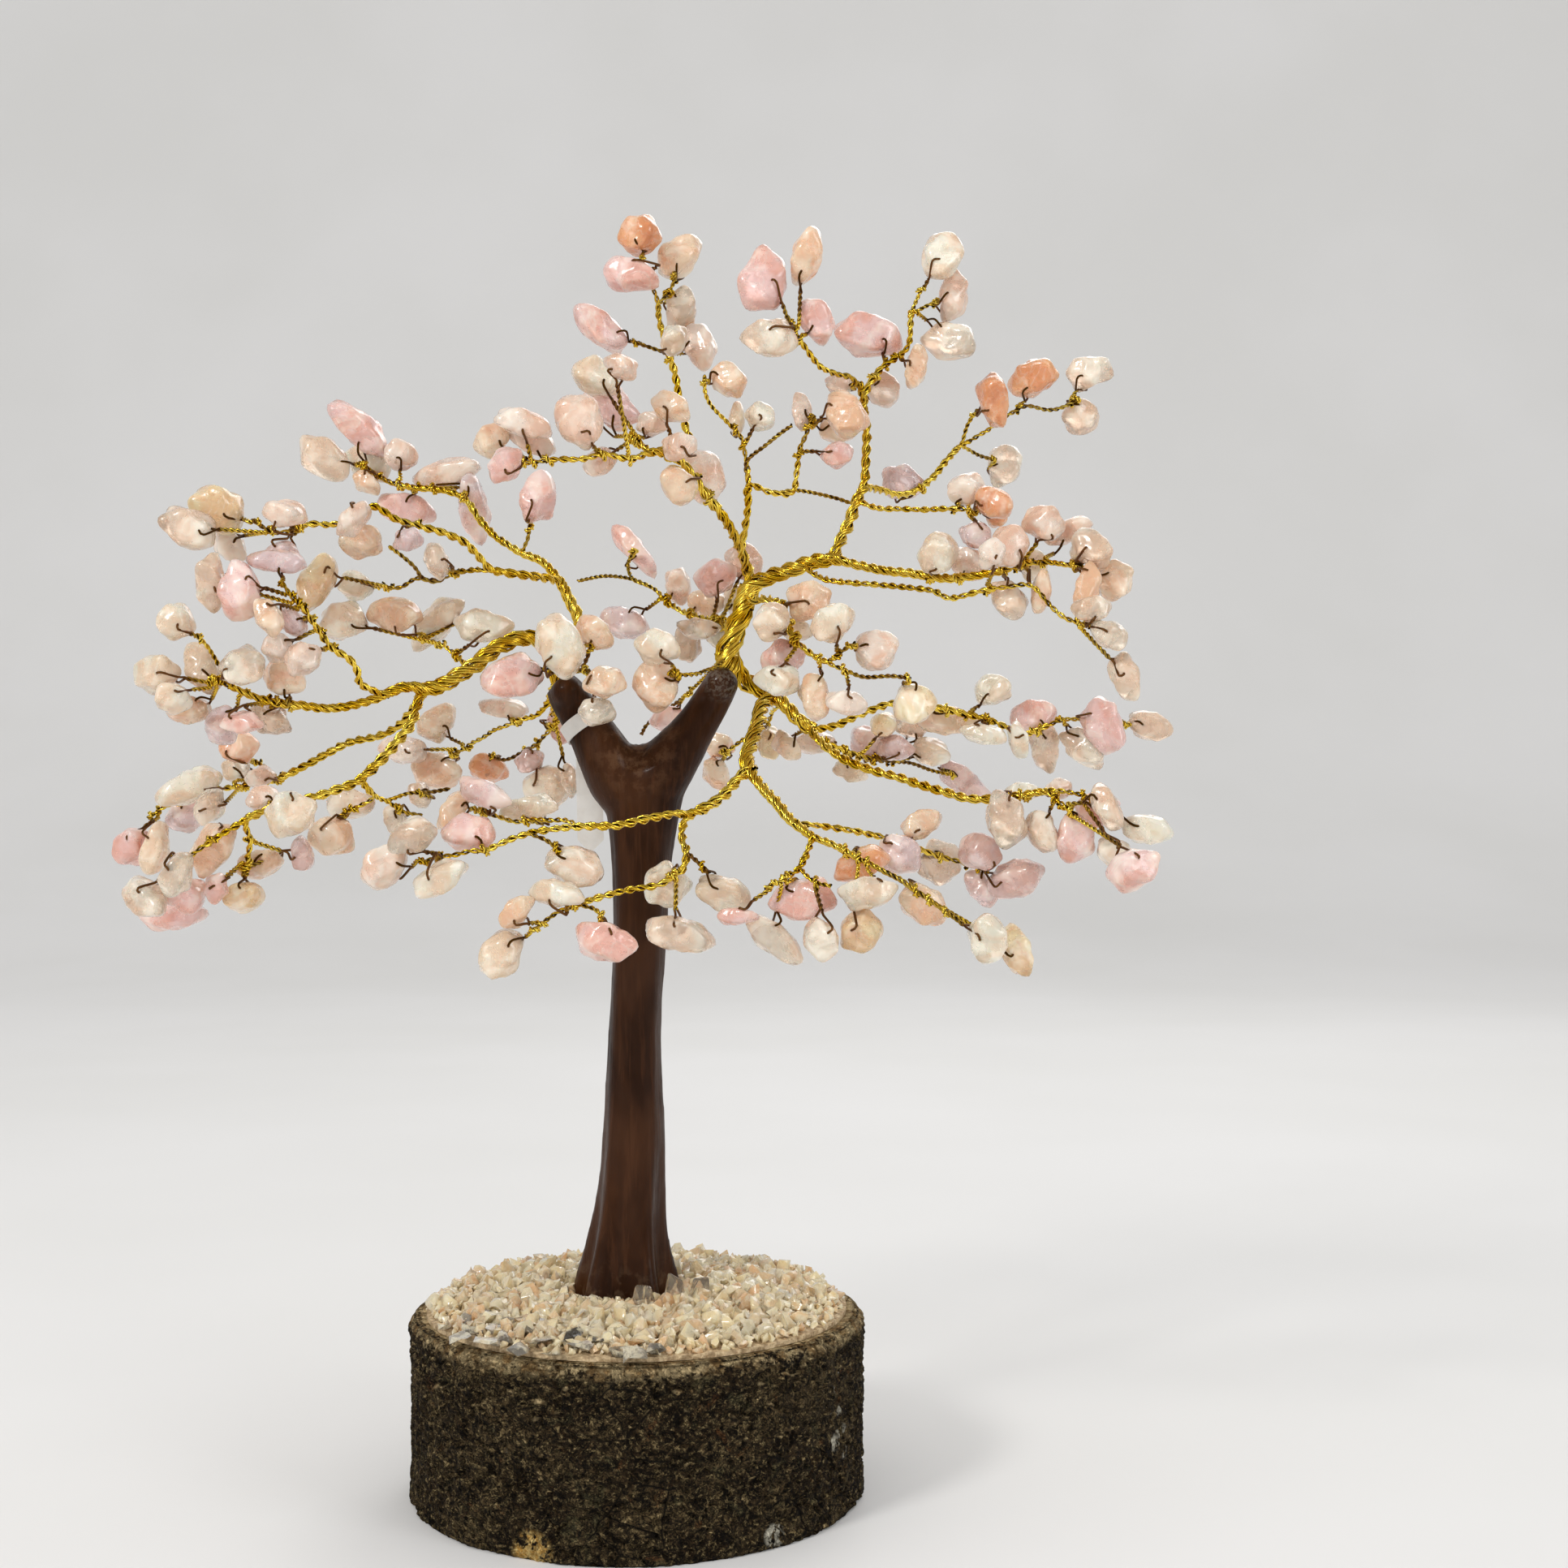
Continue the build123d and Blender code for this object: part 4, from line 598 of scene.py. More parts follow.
# Socket glue: the hazy amber plug poured round the wires in the log's drilled socket. It is hidden
# in the log and keeps its solid.
glue = Look("glue", Transmission_Weight=0.3, IOR=1.46)
haze = glue.noise(400, 4)
dress("socket_glue", glue.finish(
    Base_Color=glue.mix(glue.ramp(haze, 0.35, 0.65), colour(214, 200, 168), colour(236, 228, 206)),
    Roughness=glue.ramp(haze, 0.3, 0.7, 0.18, 0.4), Normal=glue.bump(haze, 0.2 * mm)))


# Foot crystals: broken points of clear quartz, glued against the trunk's foot. Each is the hull of
# its solid, with its edges slightly broken.
def stone_mesh(name, target):
    """The mesh of a bmesh that is done, with its faces pointing outwards."""
    mesh = bpy.data.meshes.new(name)
    bmesh.ops.recalc_face_normals(target, faces=target.faces)
    target.to_mesh(mesh)
    target.free()
    return mesh


crystals = bmesh.new()
own = crystals.verts.layers.float.new("own")
whole, solids = islands("foot_crystals")
for number, corners in enumerate(solids):
    made = [crystals.verts.new(corner.co) for corner in corners]
    bmesh.ops.convex_hull(crystals, input=made)
    for vert in made:
        vert[own] = draw(number, 24)
whole.free()
bmesh.ops.bevel(crystals, geom=list(crystals.edges), offset=0.25 * mm, segments=2, profile=0.5,
                affect="EDGES", material=-1)
quartz = Look("clear_quartz", IOR=1.46, Transmission_Weight=0.95)
veil = quartz.noise(380, 5, 0.6, 0.8)
add_object("foot_points", stone_mesh("foot_points", crystals), quartz.finish(
    Base_Color=quartz.mix(quartz.ramp(veil, 0.42, 0.62), colour(250, 240, 226), colour(255, 254, 250)),
    Roughness=quartz.ramp(veil, 0.45, 0.75, 0.02, 0.35), Coat_Weight=quartz.ramp(veil, 0.3, 0.7, 0.3, 1.0),
    Normal=quartz.bump(quartz.noise(700, 3), 0.05 * mm)), ["foot_crystals"])

# Trunk: moulded resin over the wire core, painted dark brown with a brush that left its strokes.
# Its solid is rounded off, with blunt fork tips, a filled crotch, and flutes between its roots.
TIPS = ((seen(889, 843, -1.7 * mm), 3.2 * mm), (seen(699, 853, -1.2 * mm), 3.0 * mm),
        (seen(783, 941, 0), 3.6 * mm), (seen(795, 938, 0), 3.4 * mm))
ROOT_COUNT = 5
FLARE = 34 * mm

whole, _ = islands("trunk")
for place, size in TIPS:
    bmesh.ops.create_icosphere(whole, subdivisions=3, radius=size, matrix=Matrix.Translation(place))
trunk_mesh = bpy.data.meshes.new("trunk_skin")
whole.to_mesh(trunk_mesh)
whole.free()
paint = Look("painted_resin", Specular_IOR_Level=0.1, Coat_Roughness=0.14)
strokes = paint.noise(800, 5, 0.6, 0.3, paint.place((1, 1, 0.07)))
broad = paint.noise(100, 3, 0.6, 0.4, paint.place((1, 1, 0.35)))
dust_and_highlight = paint.noise(420, 5, 0.65)
pits = paint.noise(1500, 4, 0.6)
tip_glint_spot = paint.spot(seen(893, 836, -4 * mm), 5.5 * mm, 0.7)
crotch = paint.spot(seen(784, 925, -4 * mm), 11 * mm, 0.8)
foot_dust = paint.ramp(paint.upward(paint.place()), 46 * mm, 36 * mm) * paint.ramp(dust_and_highlight, 0.5, 0.64)
tone = paint.mix(paint.ramp(broad, 0.32, 0.68), colour(38, 18, 5), colour(64, 35, 13))
tone = paint.mix(paint.ramp(strokes, 0.5, 0.66) * 0.4, tone, colour(78, 46, 24))
# Painted highlights: grey speckles over the pits of the right fork tip stand in for its glints.
tone = paint.mix(tip_glint_spot * paint.ramp(pits, 0.46, 0.6) * 0.6, tone, colour(116, 106, 94))
# Painted highlight: a lighter brown mottled patch lightens the crotch where light falls on it. The same
# mottle also gives the dust low on the trunk.
tone = paint.mix(crotch * paint.ramp(dust_and_highlight, 0.44, 0.62) * 0.4, tone, colour(116, 84, 58))
tone = paint.mix(foot_dust * 0.3, tone, colour(120, 96, 72))
trunk = add_object("trunk_skin", trunk_mesh, paint.finish(
    Base_Color=tone, Roughness=paint.ramp(strokes + dust_and_highlight * 0.6, 0.5, 1.1, 0.34, 0.52),
    Coat_Weight=(tip_glint_spot * 0.3).most(paint.ramp(broad, 0.3, 0.7, 0.02, 0.14)),
    Normal=paint.bump(strokes + dust_and_highlight * 0.3 + pits * (crotch + tip_glint_spot) * 0.4, 0.16 * mm)),
    ["trunk"])


def apply_modifiers(piece):
    """Make what a piece's modifiers do part of its mesh."""
    kept = list(piece.data.materials)
    solved = bpy.data.meshes.new_from_object(piece.evaluated_get(bpy.context.evaluated_depsgraph_get()))
    piece.modifiers.clear()
    piece.data = solved
    solved.materials.clear()
    for look in kept:
        solved.materials.append(look)


remesh = trunk.modifiers.new("even_faces", "REMESH")
remesh.mode = "VOXEL"
remesh.voxel_size = 0.55 * mm
soften = trunk.modifiers.new("soften", "SMOOTH")
soften.factor = 0.5
soften.iterations = 14
apply_modifiers(trunk)
outward = [vert.normal.copy() for vert in trunk.data.vertices]
for vert, normal in zip(trunk.data.vertices, outward):
    place = vert.co / mm
    low = max(0, 1 - (vert.co.z - LOG_HEIGHT) / FLARE)
    angle = math.atan2(place.y, place.x - FOOT.x / mm * low)
    fold = noise.noise(Vector((math.cos(angle) * 1.9, math.sin(angle) * 1.9, place.z / 60)))
    toe = math.cos(ROOT_COUNT * angle - math.pi / 2) * low ** 2
    fine = noise.fractal(Vector((place.x / 2.2, place.y / 2.2, place.z / 9)), 1, 2, 3)
    vert.co += normal * (0.5 * fold * (0.35 + low) + 0.7 * toe + 0.1 * fine) * mm
trunk.data.shade_smooth()

# Paper label: a strip of white paper folded round the left fork and glued to itself, with its tail
# hanging behind the trunk. It keeps its solid.
paper = Look("label_paper", Sheen_Weight=0.1, Subsurface_Weight=0.1)
fibres = paper.noise(2200, 4, 0.7)
paper_tone = paper.mix(paper.ramp(paper.noise(180, 3), 0.35, 0.7), colour(226, 222, 214),
                       colour(240, 238, 233))
dress("paper_label", paper.finish(
    Base_Color=paper_tone, Roughness=paper.ramp(fibres, 0.3, 0.7, 0.55, 0.75),
    Normal=paper.bump(fibres, 0.05 * mm)))

# Wires: gold-coloured wire, twisted into ropes and these into boughs, which leave the fork tips and
# divide down to one pair for each chip. The routes are the solids' own: pixel across, pixel down,
# and share of the reach behind the trunk.
REACH = 90 * mm
CORES = [
    [(778, 1600, 0), (778, 1200, 0), (778, 985, 0), (752, 944, 0), (731, 905, 0), (710, 872, 0.01),
     (692, 843, 0.02), (690, 818, 0.03), (702, 796, 0.03)],
    [(790, 1600, 0), (792, 1200, 0), (794, 985, 0), (818, 948, 0), (845, 912, 0), (870, 875, 0),
     (893, 834, 0), (896, 808, 0), (905, 780, 0), (917, 748, 0), (924, 722, 0)],
]
ROUTES = {
    "right_bough": [
        [(897, 806, 0), (913, 836, 0.06), (945, 852, 0.05), (965, 866, 0.02), (985, 888, 0),
         (1003, 899, 0)],
        [(948, 854, 0.05), (938, 872, -0.02), (934, 892, -0.07), (926, 915, -0.12), (920, 936, -0.16),
         (926, 952, -0.19)],
    ],
    "right_upper": [
        [(924, 722, 0), (950, 710, -0.02), (975, 702, -0.04), (1000, 693, -0.05), (1025, 689, -0.06),
         (1060, 697, -0.08), (1090, 703, -0.1), (1120, 706, -0.12), (1150, 711, -0.14),
         (1180, 712, -0.16), (1235, 703, -0.19), (1262, 693, -0.21), (1300, 694, -0.23),
         (1332, 698, -0.25)],
        [(985, 704, -0.05), (1015, 713, -0.12), (1050, 718, -0.17), (1090, 721, -0.2),
         (1120, 724, -0.22), (1150, 728, -0.24), (1172, 737, -0.26), (1215, 727, -0.28),
         (1270, 722, -0.3), (1297, 750, -0.32), (1322, 765, -0.33), (1350, 772, -0.34)],
    ],
    "top_left": [
        [(922, 718, 0), (918, 690, 0.04), (908, 664, 0.08), (886, 628, 0.13), (862, 570, 0.18),
         (846, 530, 0.2), (838, 498, 0.2), (832, 462, 0.19), (824, 436, 0.18), (813, 398, 0.17),
         (810, 372, 0.16), (800, 345, 0.15), (790, 318, 0.14)],
        [(825, 437, 0.18), (806, 430, 0.16), (780, 421, 0.15)],
        [(812, 380, 0.17), (826, 358, 0.2), (832, 338, 0.21)],
    ],
    "heart": [
        [(920, 700, 0), (908, 668, -0.06), (893, 640, -0.12), (876, 618, -0.15), (856, 590, -0.17),
         (838, 568, -0.19), (815, 556, -0.21), (795, 560, -0.23), (775, 566, -0.25), (745, 560, -0.27),
         (715, 566, -0.29), (685, 566, -0.3), (655, 570, -0.31), (638, 568, -0.32)],
        [(806, 558, -0.22), (788, 545, -0.2), (768, 534, -0.19)],
    ],
    "centre_spray": [
        [(916, 672, 0.05), (921, 630, 0.02), (922, 594, 0), (919, 562, -0.01), (912, 538, -0.02),
         (896, 520, -0.03), (878, 502, -0.04), (869, 484, -0.05), (868, 462, -0.06)],
        [(921, 597, 0), (950, 607, 0.03), (976, 607, 0.05), (982, 580, 0.05), (985, 556, 0.04),
         (995, 530, 0.03), (1004, 512, 0.03)],
        [(921, 566, -0.01), (943, 549, -0.04), (960, 535, -0.06), (976, 524, -0.08)],
        [(976, 604, 0.05), (1005, 608, 0.08), (1030, 614, 0.1), (1048, 620, 0.11)],
    ],
    "top_right": [
        [(1027, 688, -0.06), (1036, 666, -0.03), (1046, 646, 0), (1055, 620, 0.02), (1065, 598, 0.04),
         (1067, 562, 0.06), (1068, 530, 0.08), (1064, 500, 0.09), (1071, 474, 0.1), (1088, 452, 0.11),
         (1106, 440, 0.12), (1120, 424, 0.13), (1124, 386, 0.14), (1136, 354, 0.15)],
        [(1064, 498, 0.09), (1052, 468, 0.03), (1030, 461, 0), (1012, 453, -0.03), (999, 438, -0.05),
         (985, 418, -0.07), (970, 390, -0.09)],
        [(1124, 388, 0.14), (1140, 378, 0.16), (1156, 372, 0.17)],
    ],
    "right_far": [
        [(1064, 600, 0.04), (1085, 604, 0.12), (1108, 610, 0.18), (1130, 604, 0.22), (1150, 588, 0.25),
         (1166, 568, 0.27), (1182, 551, 0.29), (1208, 536, 0.31), (1238, 514, 0.33), (1264, 501, 0.35),
         (1300, 505, 0.37), (1330, 490, 0.39)],
        [(1057, 618, 0.02), (1082, 626, -0.02), (1110, 627, -0.04), (1136, 628, -0.05),
         (1160, 627, -0.06), (1185, 627, -0.07), (1202, 632, -0.08)],
        [(1186, 550, 0.29), (1192, 524, 0.27), (1204, 505, 0.26)],
        [(1186, 551, 0.29), (1208, 562, 0.33), (1228, 567, 0.35)],
    ],
    "centre_right": [
        [(918, 745, 0), (938, 738, -0.07), (958, 742, -0.12), (968, 760, -0.16), (978, 785, -0.19),
         (1000, 806, -0.22), (1020, 816, -0.24), (1042, 826, -0.26), (1065, 834, -0.28),
         (1100, 833, -0.3), (1122, 836, -0.31)],
        [(1018, 815, -0.24), (1036, 803, -0.26), (1054, 792, -0.28)],
    ],
    "right_middle": [
        [(1003, 899, 0), (1028, 895, 0.03), (1052, 884, 0.05), (1076, 874, 0.07), (1102, 867, 0.09),
         (1140, 870, 0.11), (1180, 878, 0.13), (1214, 886, 0.14), (1240, 896, 0.15), (1266, 904, 0.16),
         (1300, 890, 0.17), (1325, 886, 0.18), (1360, 889, 0.19), (1392, 893, 0.2)],
    ],
    "right_back": [
        [(990, 892, 0), (1004, 908, 0.1), (1030, 922, 0.17), (1060, 932, 0.22), (1090, 938, 0.26),
         (1120, 940, 0.3), (1150, 950, 0.33), (1178, 956, 0.36)],
        [(960, 862, 0.03), (950, 880, 0.12), (940, 900, 0.18), (915, 912, 0.22), (890, 930, 0.24)],
    ],
    "right_low": [
        [(996, 896, 0), (1008, 910, -0.05), (1026, 926, -0.09), (1046, 938, -0.12), (1075, 949, -0.15),
         (1105, 957, -0.18), (1135, 967, -0.21), (1165, 976, -0.24), (1195, 984, -0.27),
         (1225, 984, -0.29), (1260, 980, -0.31), (1290, 975, -0.33), (1325, 977, -0.35),
         (1352, 990, -0.36)],
        [(1290, 975, -0.33), (1308, 990, -0.37), (1324, 1003, -0.39)],
    ],
    "front_right": [
        [(926, 952, -0.19), (941, 972, -0.23), (956, 988, -0.26), (972, 1008, -0.29),
         (986, 1019, -0.31), (1002, 1031, -0.33), (1025, 1040, -0.35), (1045, 1050, -0.37),
         (1070, 1064, -0.39), (1095, 1076, -0.41), (1118, 1090, -0.43), (1150, 1112, -0.45),
         (1178, 1132, -0.47)],
        [(980, 1014, -0.3), (1012, 1018, -0.27), (1045, 1023, -0.25), (1080, 1030, -0.23),
         (1120, 1042, -0.22), (1160, 1056, -0.21), (1196, 1066, -0.2), (1216, 1070, -0.2)],
        [(1001, 1030, -0.33), (995, 1050, -0.36), (986, 1068, -0.38), (966, 1084, -0.4),
         (942, 1094, -0.41)],
        [(986, 1068, -0.38), (1004, 1086, -0.42), (1024, 1092, -0.44)],
    ],
    "front_low": [
        [(924, 946, -0.18), (907, 963, -0.22), (892, 980, -0.25), (872, 994, -0.28), (852, 1003, -0.3),
         (842, 1016, -0.32), (841, 1034, -0.34), (846, 1050, -0.36), (840, 1072, -0.37),
         (812, 1090, -0.38), (782, 1095, -0.39), (752, 1102, -0.4), (722, 1111, -0.41),
         (696, 1120, -0.42), (674, 1133, -0.43), (656, 1148, -0.44)],
        [(845, 1046, -0.36), (860, 1062, -0.38), (874, 1076, -0.39)],
        [(716, 1112, -0.41), (734, 1121, -0.44), (744, 1134, -0.45)],
    ],
    "front_left": [
        [(854, 1002, -0.3), (830, 1003, -0.33), (800, 1008, -0.35), (760, 1017, -0.37),
         (720, 1018, -0.38), (686, 1021, -0.39), (655, 1026, -0.4), (625, 1036, -0.41),
         (600, 1047, -0.42), (575, 1050, -0.43), (545, 1056, -0.44), (516, 1063, -0.45)],
        [(722, 1018, -0.38), (694, 1011, -0.35), (664, 1010, -0.33), (636, 1012, -0.32),
         (606, 1004, -0.31), (584, 995, -0.3)],
        [(656, 1026, -0.4), (674, 1036, -0.42), (690, 1048, -0.43)],
    ],
    "front_centre": [
        [(896, 812, 0), (882, 822, -0.07), (866, 828, -0.12), (846, 832, -0.16), (826, 830, -0.19)],
    ],
    "back_crown": [
        [(906, 778, 0), (888, 768, 0.08), (862, 760, 0.14), (838, 752, 0.19), (820, 738, 0.23),
         (800, 722, 0.26), (772, 712, 0.29), (742, 710, 0.32), (712, 716, 0.35)],
        [(782, 714, 0.28), (774, 696, 0.32), (782, 676, 0.35)],
        [(900, 800, 0), (874, 828, 0.16), (838, 862, 0.28), (800, 890, 0.36), (790, 905, 0.38)],
    ],
    "left_upper": [
        [(698, 800, 0.03), (712, 782, 0.05), (712, 760, 0.06), (702, 740, 0.07), (688, 714, 0.08),
         (668, 692, 0.1), (642, 681, 0.12), (615, 664, 0.14), (595, 645, 0.16), (572, 614, 0.18),
         (545, 604, 0.2), (505, 600, 0.22), (472, 590, 0.24), (442, 570, 0.25)],
        [(645, 682, 0.12), (650, 664, 0.1), (653, 646, 0.09)],
    ],
    "left_crest": [
        [(690, 717, 0.08), (668, 712, 0.02), (640, 708, -0.02), (606, 702, -0.05), (590, 686, -0.07),
         (572, 668, -0.09), (545, 656, -0.11), (515, 648, -0.13), (488, 640, -0.15), (462, 624, -0.16),
         (440, 632, -0.17), (412, 646, -0.18), (380, 646, -0.2), (342, 657, -0.22), (310, 640, -0.24)],
    ],
    "left_shoulder": [
        [(610, 703, -0.05), (586, 702, -0.02), (560, 706, 0), (538, 716, 0.01), (514, 713, 0.02),
         (490, 724, 0.03), (462, 720, 0.04)],
        [(522, 714, 0.02), (510, 698, -0.01), (494, 684, -0.02), (479, 673, -0.03)],
    ],
    "left_bough": [
        [(696, 806, 0.03), (672, 792, 0), (645, 786, -0.03), (614, 797, -0.05), (590, 816, -0.07),
         (566, 832, -0.09), (546, 844, -0.1), (525, 849, -0.11), (502, 846, -0.13), (482, 852, -0.14),
         (460, 862, -0.15), (430, 870, -0.17), (400, 873, -0.19), (370, 869, -0.21), (340, 866, -0.22),
         (312, 858, -0.23), (285, 846, -0.24), (256, 836, -0.25)],
        [(578, 822, -0.08), (562, 806, -0.02), (544, 794, 0.02), (520, 786, 0.05)],
        [(288, 848, -0.24), (272, 824, -0.27), (258, 800, -0.29), (242, 782, -0.3)],
    ],
    "left_middle": [
        [(476, 855, -0.14), (458, 850, -0.17), (443, 842, -0.19), (440, 826, -0.21), (430, 812, -0.22),
         (408, 798, -0.24), (392, 776, -0.26), (376, 752, -0.27), (360, 735, -0.28), (346, 716, -0.29)],
    ],
    "left_low": [
        [(522, 850, -0.11), (508, 874, -0.08), (488, 896, -0.05), (465, 907, -0.03), (432, 914, 0),
         (405, 927, 0.02), (380, 941, 0.04), (352, 955, 0.06), (325, 964, 0.08), (298, 968, 0.09),
         (270, 972, 0.1), (245, 973, 0.11), (222, 984, 0.12), (200, 996, 0.13), (182, 1008, 0.14)],
        [(342, 960, 0.07), (328, 946, 0.1), (312, 936, 0.12)],
    ],
    "left_front": [
        [(516, 858, -0.11), (508, 890, -0.16), (488, 916, -0.2), (466, 940, -0.23), (442, 962, -0.26),
         (410, 975, -0.29), (380, 984, -0.31), (345, 992, -0.33), (315, 1004, -0.35),
         (290, 1018, -0.37), (264, 1034, -0.38), (238, 1052, -0.39), (206, 1072, -0.4)],
        [(444, 960, -0.26), (460, 980, -0.22), (478, 988, -0.19), (496, 1000, -0.17),
         (520, 1005, -0.15)],
        [(476, 987, -0.19), (502, 978, -0.15), (530, 976, -0.12), (554, 972, -0.1)],
        [(460, 982, -0.22), (440, 994, -0.2), (420, 1004, -0.19)],
        [(302, 1012, -0.36), (308, 1036, -0.33), (304, 1060, -0.31), (300, 1080, -0.3)],
    ],
    "left_back": [
        [(689, 824, 0.03), (676, 862, 0.12), (662, 880, 0.16), (640, 887, 0.19), (615, 897, 0.22),
         (595, 908, 0.25), (575, 920, 0.28), (556, 930, 0.3)],
        [(678, 858, 0.12), (684, 886, 0.2), (668, 910, 0.24), (645, 926, 0.27), (622, 936, 0.29),
         (602, 930, 0.31)],
    ],
    "crotch_front": [
        [(690, 822, 0.03), (704, 826, -0.07), (722, 826, -0.13), (742, 832, -0.17), (758, 838, -0.19)],
        [(706, 826, -0.08), (690, 824, -0.14), (674, 822, -0.17)],
        [(716, 826, -0.11), (724, 808, -0.14), (728, 795, -0.15)],
    ],
}
# A branch starts BRANCHING before it leaves its run, and bundles thin over TAPER to both sides. A
# bundle has two ropes, or three where it is thicker than THREE_ROPES. The lays are the slopes at
# which ropes and wires wind, and the core's two radii are its room in the trunk and in the tips.
WIRE = 0.45 * mm
STEP = 0.22 * mm
BRANCHING = 4 * mm
TAPER = 3 * mm
THREE_ROPES = 1.5 * mm
ROPE_SHARES = {2: 0.54, 3: 0.49}
ROPE_LAY = 0.56
WIRE_LAY = 0.22
TRUNK_CORE = 2.1 * mm
TIP_CORE = 2.7 * mm
CORE_WIDENS = 152 * mm


def curve_through(points, step=STEP):
    """Places about a step apart on a smooth curve through the given ones."""
    apart = [points[0]]
    for point in points[1:]:
        if (point - apart[-1]).length > step / 4:
            apart.append(point)
    ends = [2 * apart[0] - apart[1], *apart, 2 * apart[-1] - apart[-2]]
    line = []
    for before, start, end, after in zip(ends, ends[1:], ends[2:], ends[3:]):
        count = max(1, round((end - start).length / step))
        for number in range(count):
            t = number / count
            line.append((2 * start + (end - before) * t
                         + (2 * before - 5 * start + 4 * end - after) * t * t
                         + (3 * start - before - 3 * end + after) * t ** 3) / 2)
    line.append(apart[-1])
    return line


class Run:
    """One run of wires: places along it, the run that it leaves, and the chips hung beyond each."""

    def __init__(self, limb, points, parent=None, join=0):
        self.limb = limb
        self.line = curve_through(points)
        self.parent = parent
        self.join = join
        self.load = [0.0] * len(self.line)

    def nearest(self, place, skip=4):
        """The number of the place on the run that is nearest to this one, and how far it is."""
        number = min(range(0, len(self.line), skip),
                     key=lambda index: (self.line[index] - place).length_squared)
        return number, (self.line[number] - place).length

    def carry(self, number):
        """One more chip hangs beyond this place, and on all runs that lead to it."""
        run = self
        while run:
            for index in range(number + 1):
                run.load[index] += 1
            run, number = run.parent, run.join

    def mean_loads(self):
        """The load at each place, evened out over the length that a branching takes."""
        reach = round(TAPER / STEP)
        sums = [0.0]
        for load in self.load:
            sums.append(sums[-1] + load)
        means = []
        for number in range(len(self.load)):
            low, high = max(0, number - reach), min(len(self.load), number + reach + 1)
            means.append((sums[high] - sums[low]) / (high - low))
        return means

    def frames(self):
        """Two directions square to the run at each place, carried along it without twist."""
        line = self.line
        side = (line[1] - line[0]).orthogonal().normalized()
        found = []
        for number in range(len(line)):
            along = (line[min(number + 1, len(line) - 1)] - line[max(number - 1, 0)]).normalized()
            side = (side - along * side.dot(along)).normalized()
            found.append((side, along.cross(side)))
        return found


def wire_route(route):
    return [seen(across, down, share * REACH) for across, down, share in route]


runs = [Run("core", wire_route(route)) for route in CORES]
for limb, routes in ROUTES.items():
    for route in routes:
        points = wire_route(route)
        parent = min(runs, key=lambda run: run.nearest(points[0])[1])
        join, _ = parent.nearest(points[0])
        back = max(0, join - round(BRANCHING / STEP))
        runs.append(Run(limb, [parent.line[back], parent.line[join], *points[1:]], parent, join))


def twisted(frame, angle):
    """The direction at this angle round a run."""
    return frame[0] * math.cos(angle) + frame[1] * math.sin(angle)


def bundle_radius(load):
    """A bundle's radius: one wire's width for a pair, and more with the root of its load."""
    return WIRE * (1 + 0.5 * (math.sqrt(max(load, 1)) - 1))


class Twig:
    """One chip's pair of wires, read from its solid: root, bend, and end beyond the chip's hole."""

    def __init__(self, root, bend, end):
        self.root, self.bend, self.end = root, bend, end
        self.run = min(runs, key=lambda run: run.nearest(root)[1])
        self.join, _ = self.run.nearest(root)
        self.run.carry(self.join)

    def winding(self, turns=0.7, count=8, before=6, pitch=0.16 * mm):
        """The pair's first turns, laid tightly round the bundle, mostly before it is left."""
        line = self.run.line
        frame = self.run.frames()[self.join]
        thick = bundle_radius(self.run.load[self.join]) + 0.35 * WIRE
        way = self.root - line[self.join]
        facing = math.atan2(way.dot(frame[1]), way.dot(frame[0]))
        places = []
        for number in range(count + 1):
            angle = facing - turns * 2 * math.pi * (1 - number / count)
            beside = min(max(0, self.join + round((number - before) * pitch / STEP)), len(line) - 1)
            places.append(line[beside] + twisted(frame, angle) * thick)
        return places


def three_sections(corners):
    """Middles of the three sections of a twig's solid, from one end to the other.

    Corners of the end sections have fewer edges than those of the section at the bend.
    """
    ends = [corner for corner in corners if len(corner.link_edges) < 6]
    beside = [edge.other_vert(ends[0]) for edge in ends[0].link_edges]
    first = [corner for corner in ends if corner == ends[0] or corner in beside]
    last = [corner for corner in ends if corner not in first]
    bend = [corner for corner in corners if corner not in ends]
    return [middle_of(section) for section in (first, bend, last)]


twigs = []
for limb in ROUTES:
    whole, solids = islands(limb + "_wire")
    for corners in solids:
        if len(corners) == 9:
            first, bend, last = three_sections(corners)
            gaps = [min(run.nearest(end)[1] for run in runs) for end in (first, last)]
            if gaps[0] > gaps[1]:
                first, last = last, first
            twigs.append(Twig(first, bend, last))
    whole.free()


class Strands:
    """The single wires of one limb, gathered as splines and then made into one mesh."""

    def __init__(self, name):
        self.curve = bpy.data.curves.new(name, "CURVE")
        self.curve.dimensions = "3D"
        self.curve.bevel_depth = WIRE / 2
        self.curve.bevel_resolution = 1
        self.curve.use_fill_caps = False
        self.points = []

    def add(self, points):
        """One wire, as its places, their shades, and the way out of the bundle at each."""
        if len(points) > 1:
            spline = self.curve.splines.new("POLY")
            spline.points.add(len(points) - 1)
            spline.points.foreach_set("co", [value for place, _, _ in points for value in (*place, 1)])
            self.points.extend(points)

    def mesh(self):
        """All wires as a mesh. Each corner keeps its shade and how far it lies inside the bundle; the wire
        material paints shade on the corners that lie inside.
        """
        holder = bpy.data.objects.new(self.curve.name, self.curve)
        scene.collection.objects.link(holder)
        made = bpy.data.meshes.new_from_object(
            holder.evaluated_get(bpy.context.evaluated_depsgraph_get()))
        bpy.data.objects.remove(holder)
        around = len(made.vertices) // len(self.points)
        shades, hollows = [], []
        for number, (place, shade, outward) in enumerate(self.points):
            for vert in made.vertices[number * around:(number + 1) * around]:
                shades.append(shade)
                hollows.append((place - vert.co).dot(outward) / (WIRE / 2))
        for name, values in (("shade", shades), ("hollow", hollows)):
            made.attributes.new(name, "FLOAT", "POINT").data.foreach_set("value", values)
        made.shade_smooth()
        return made


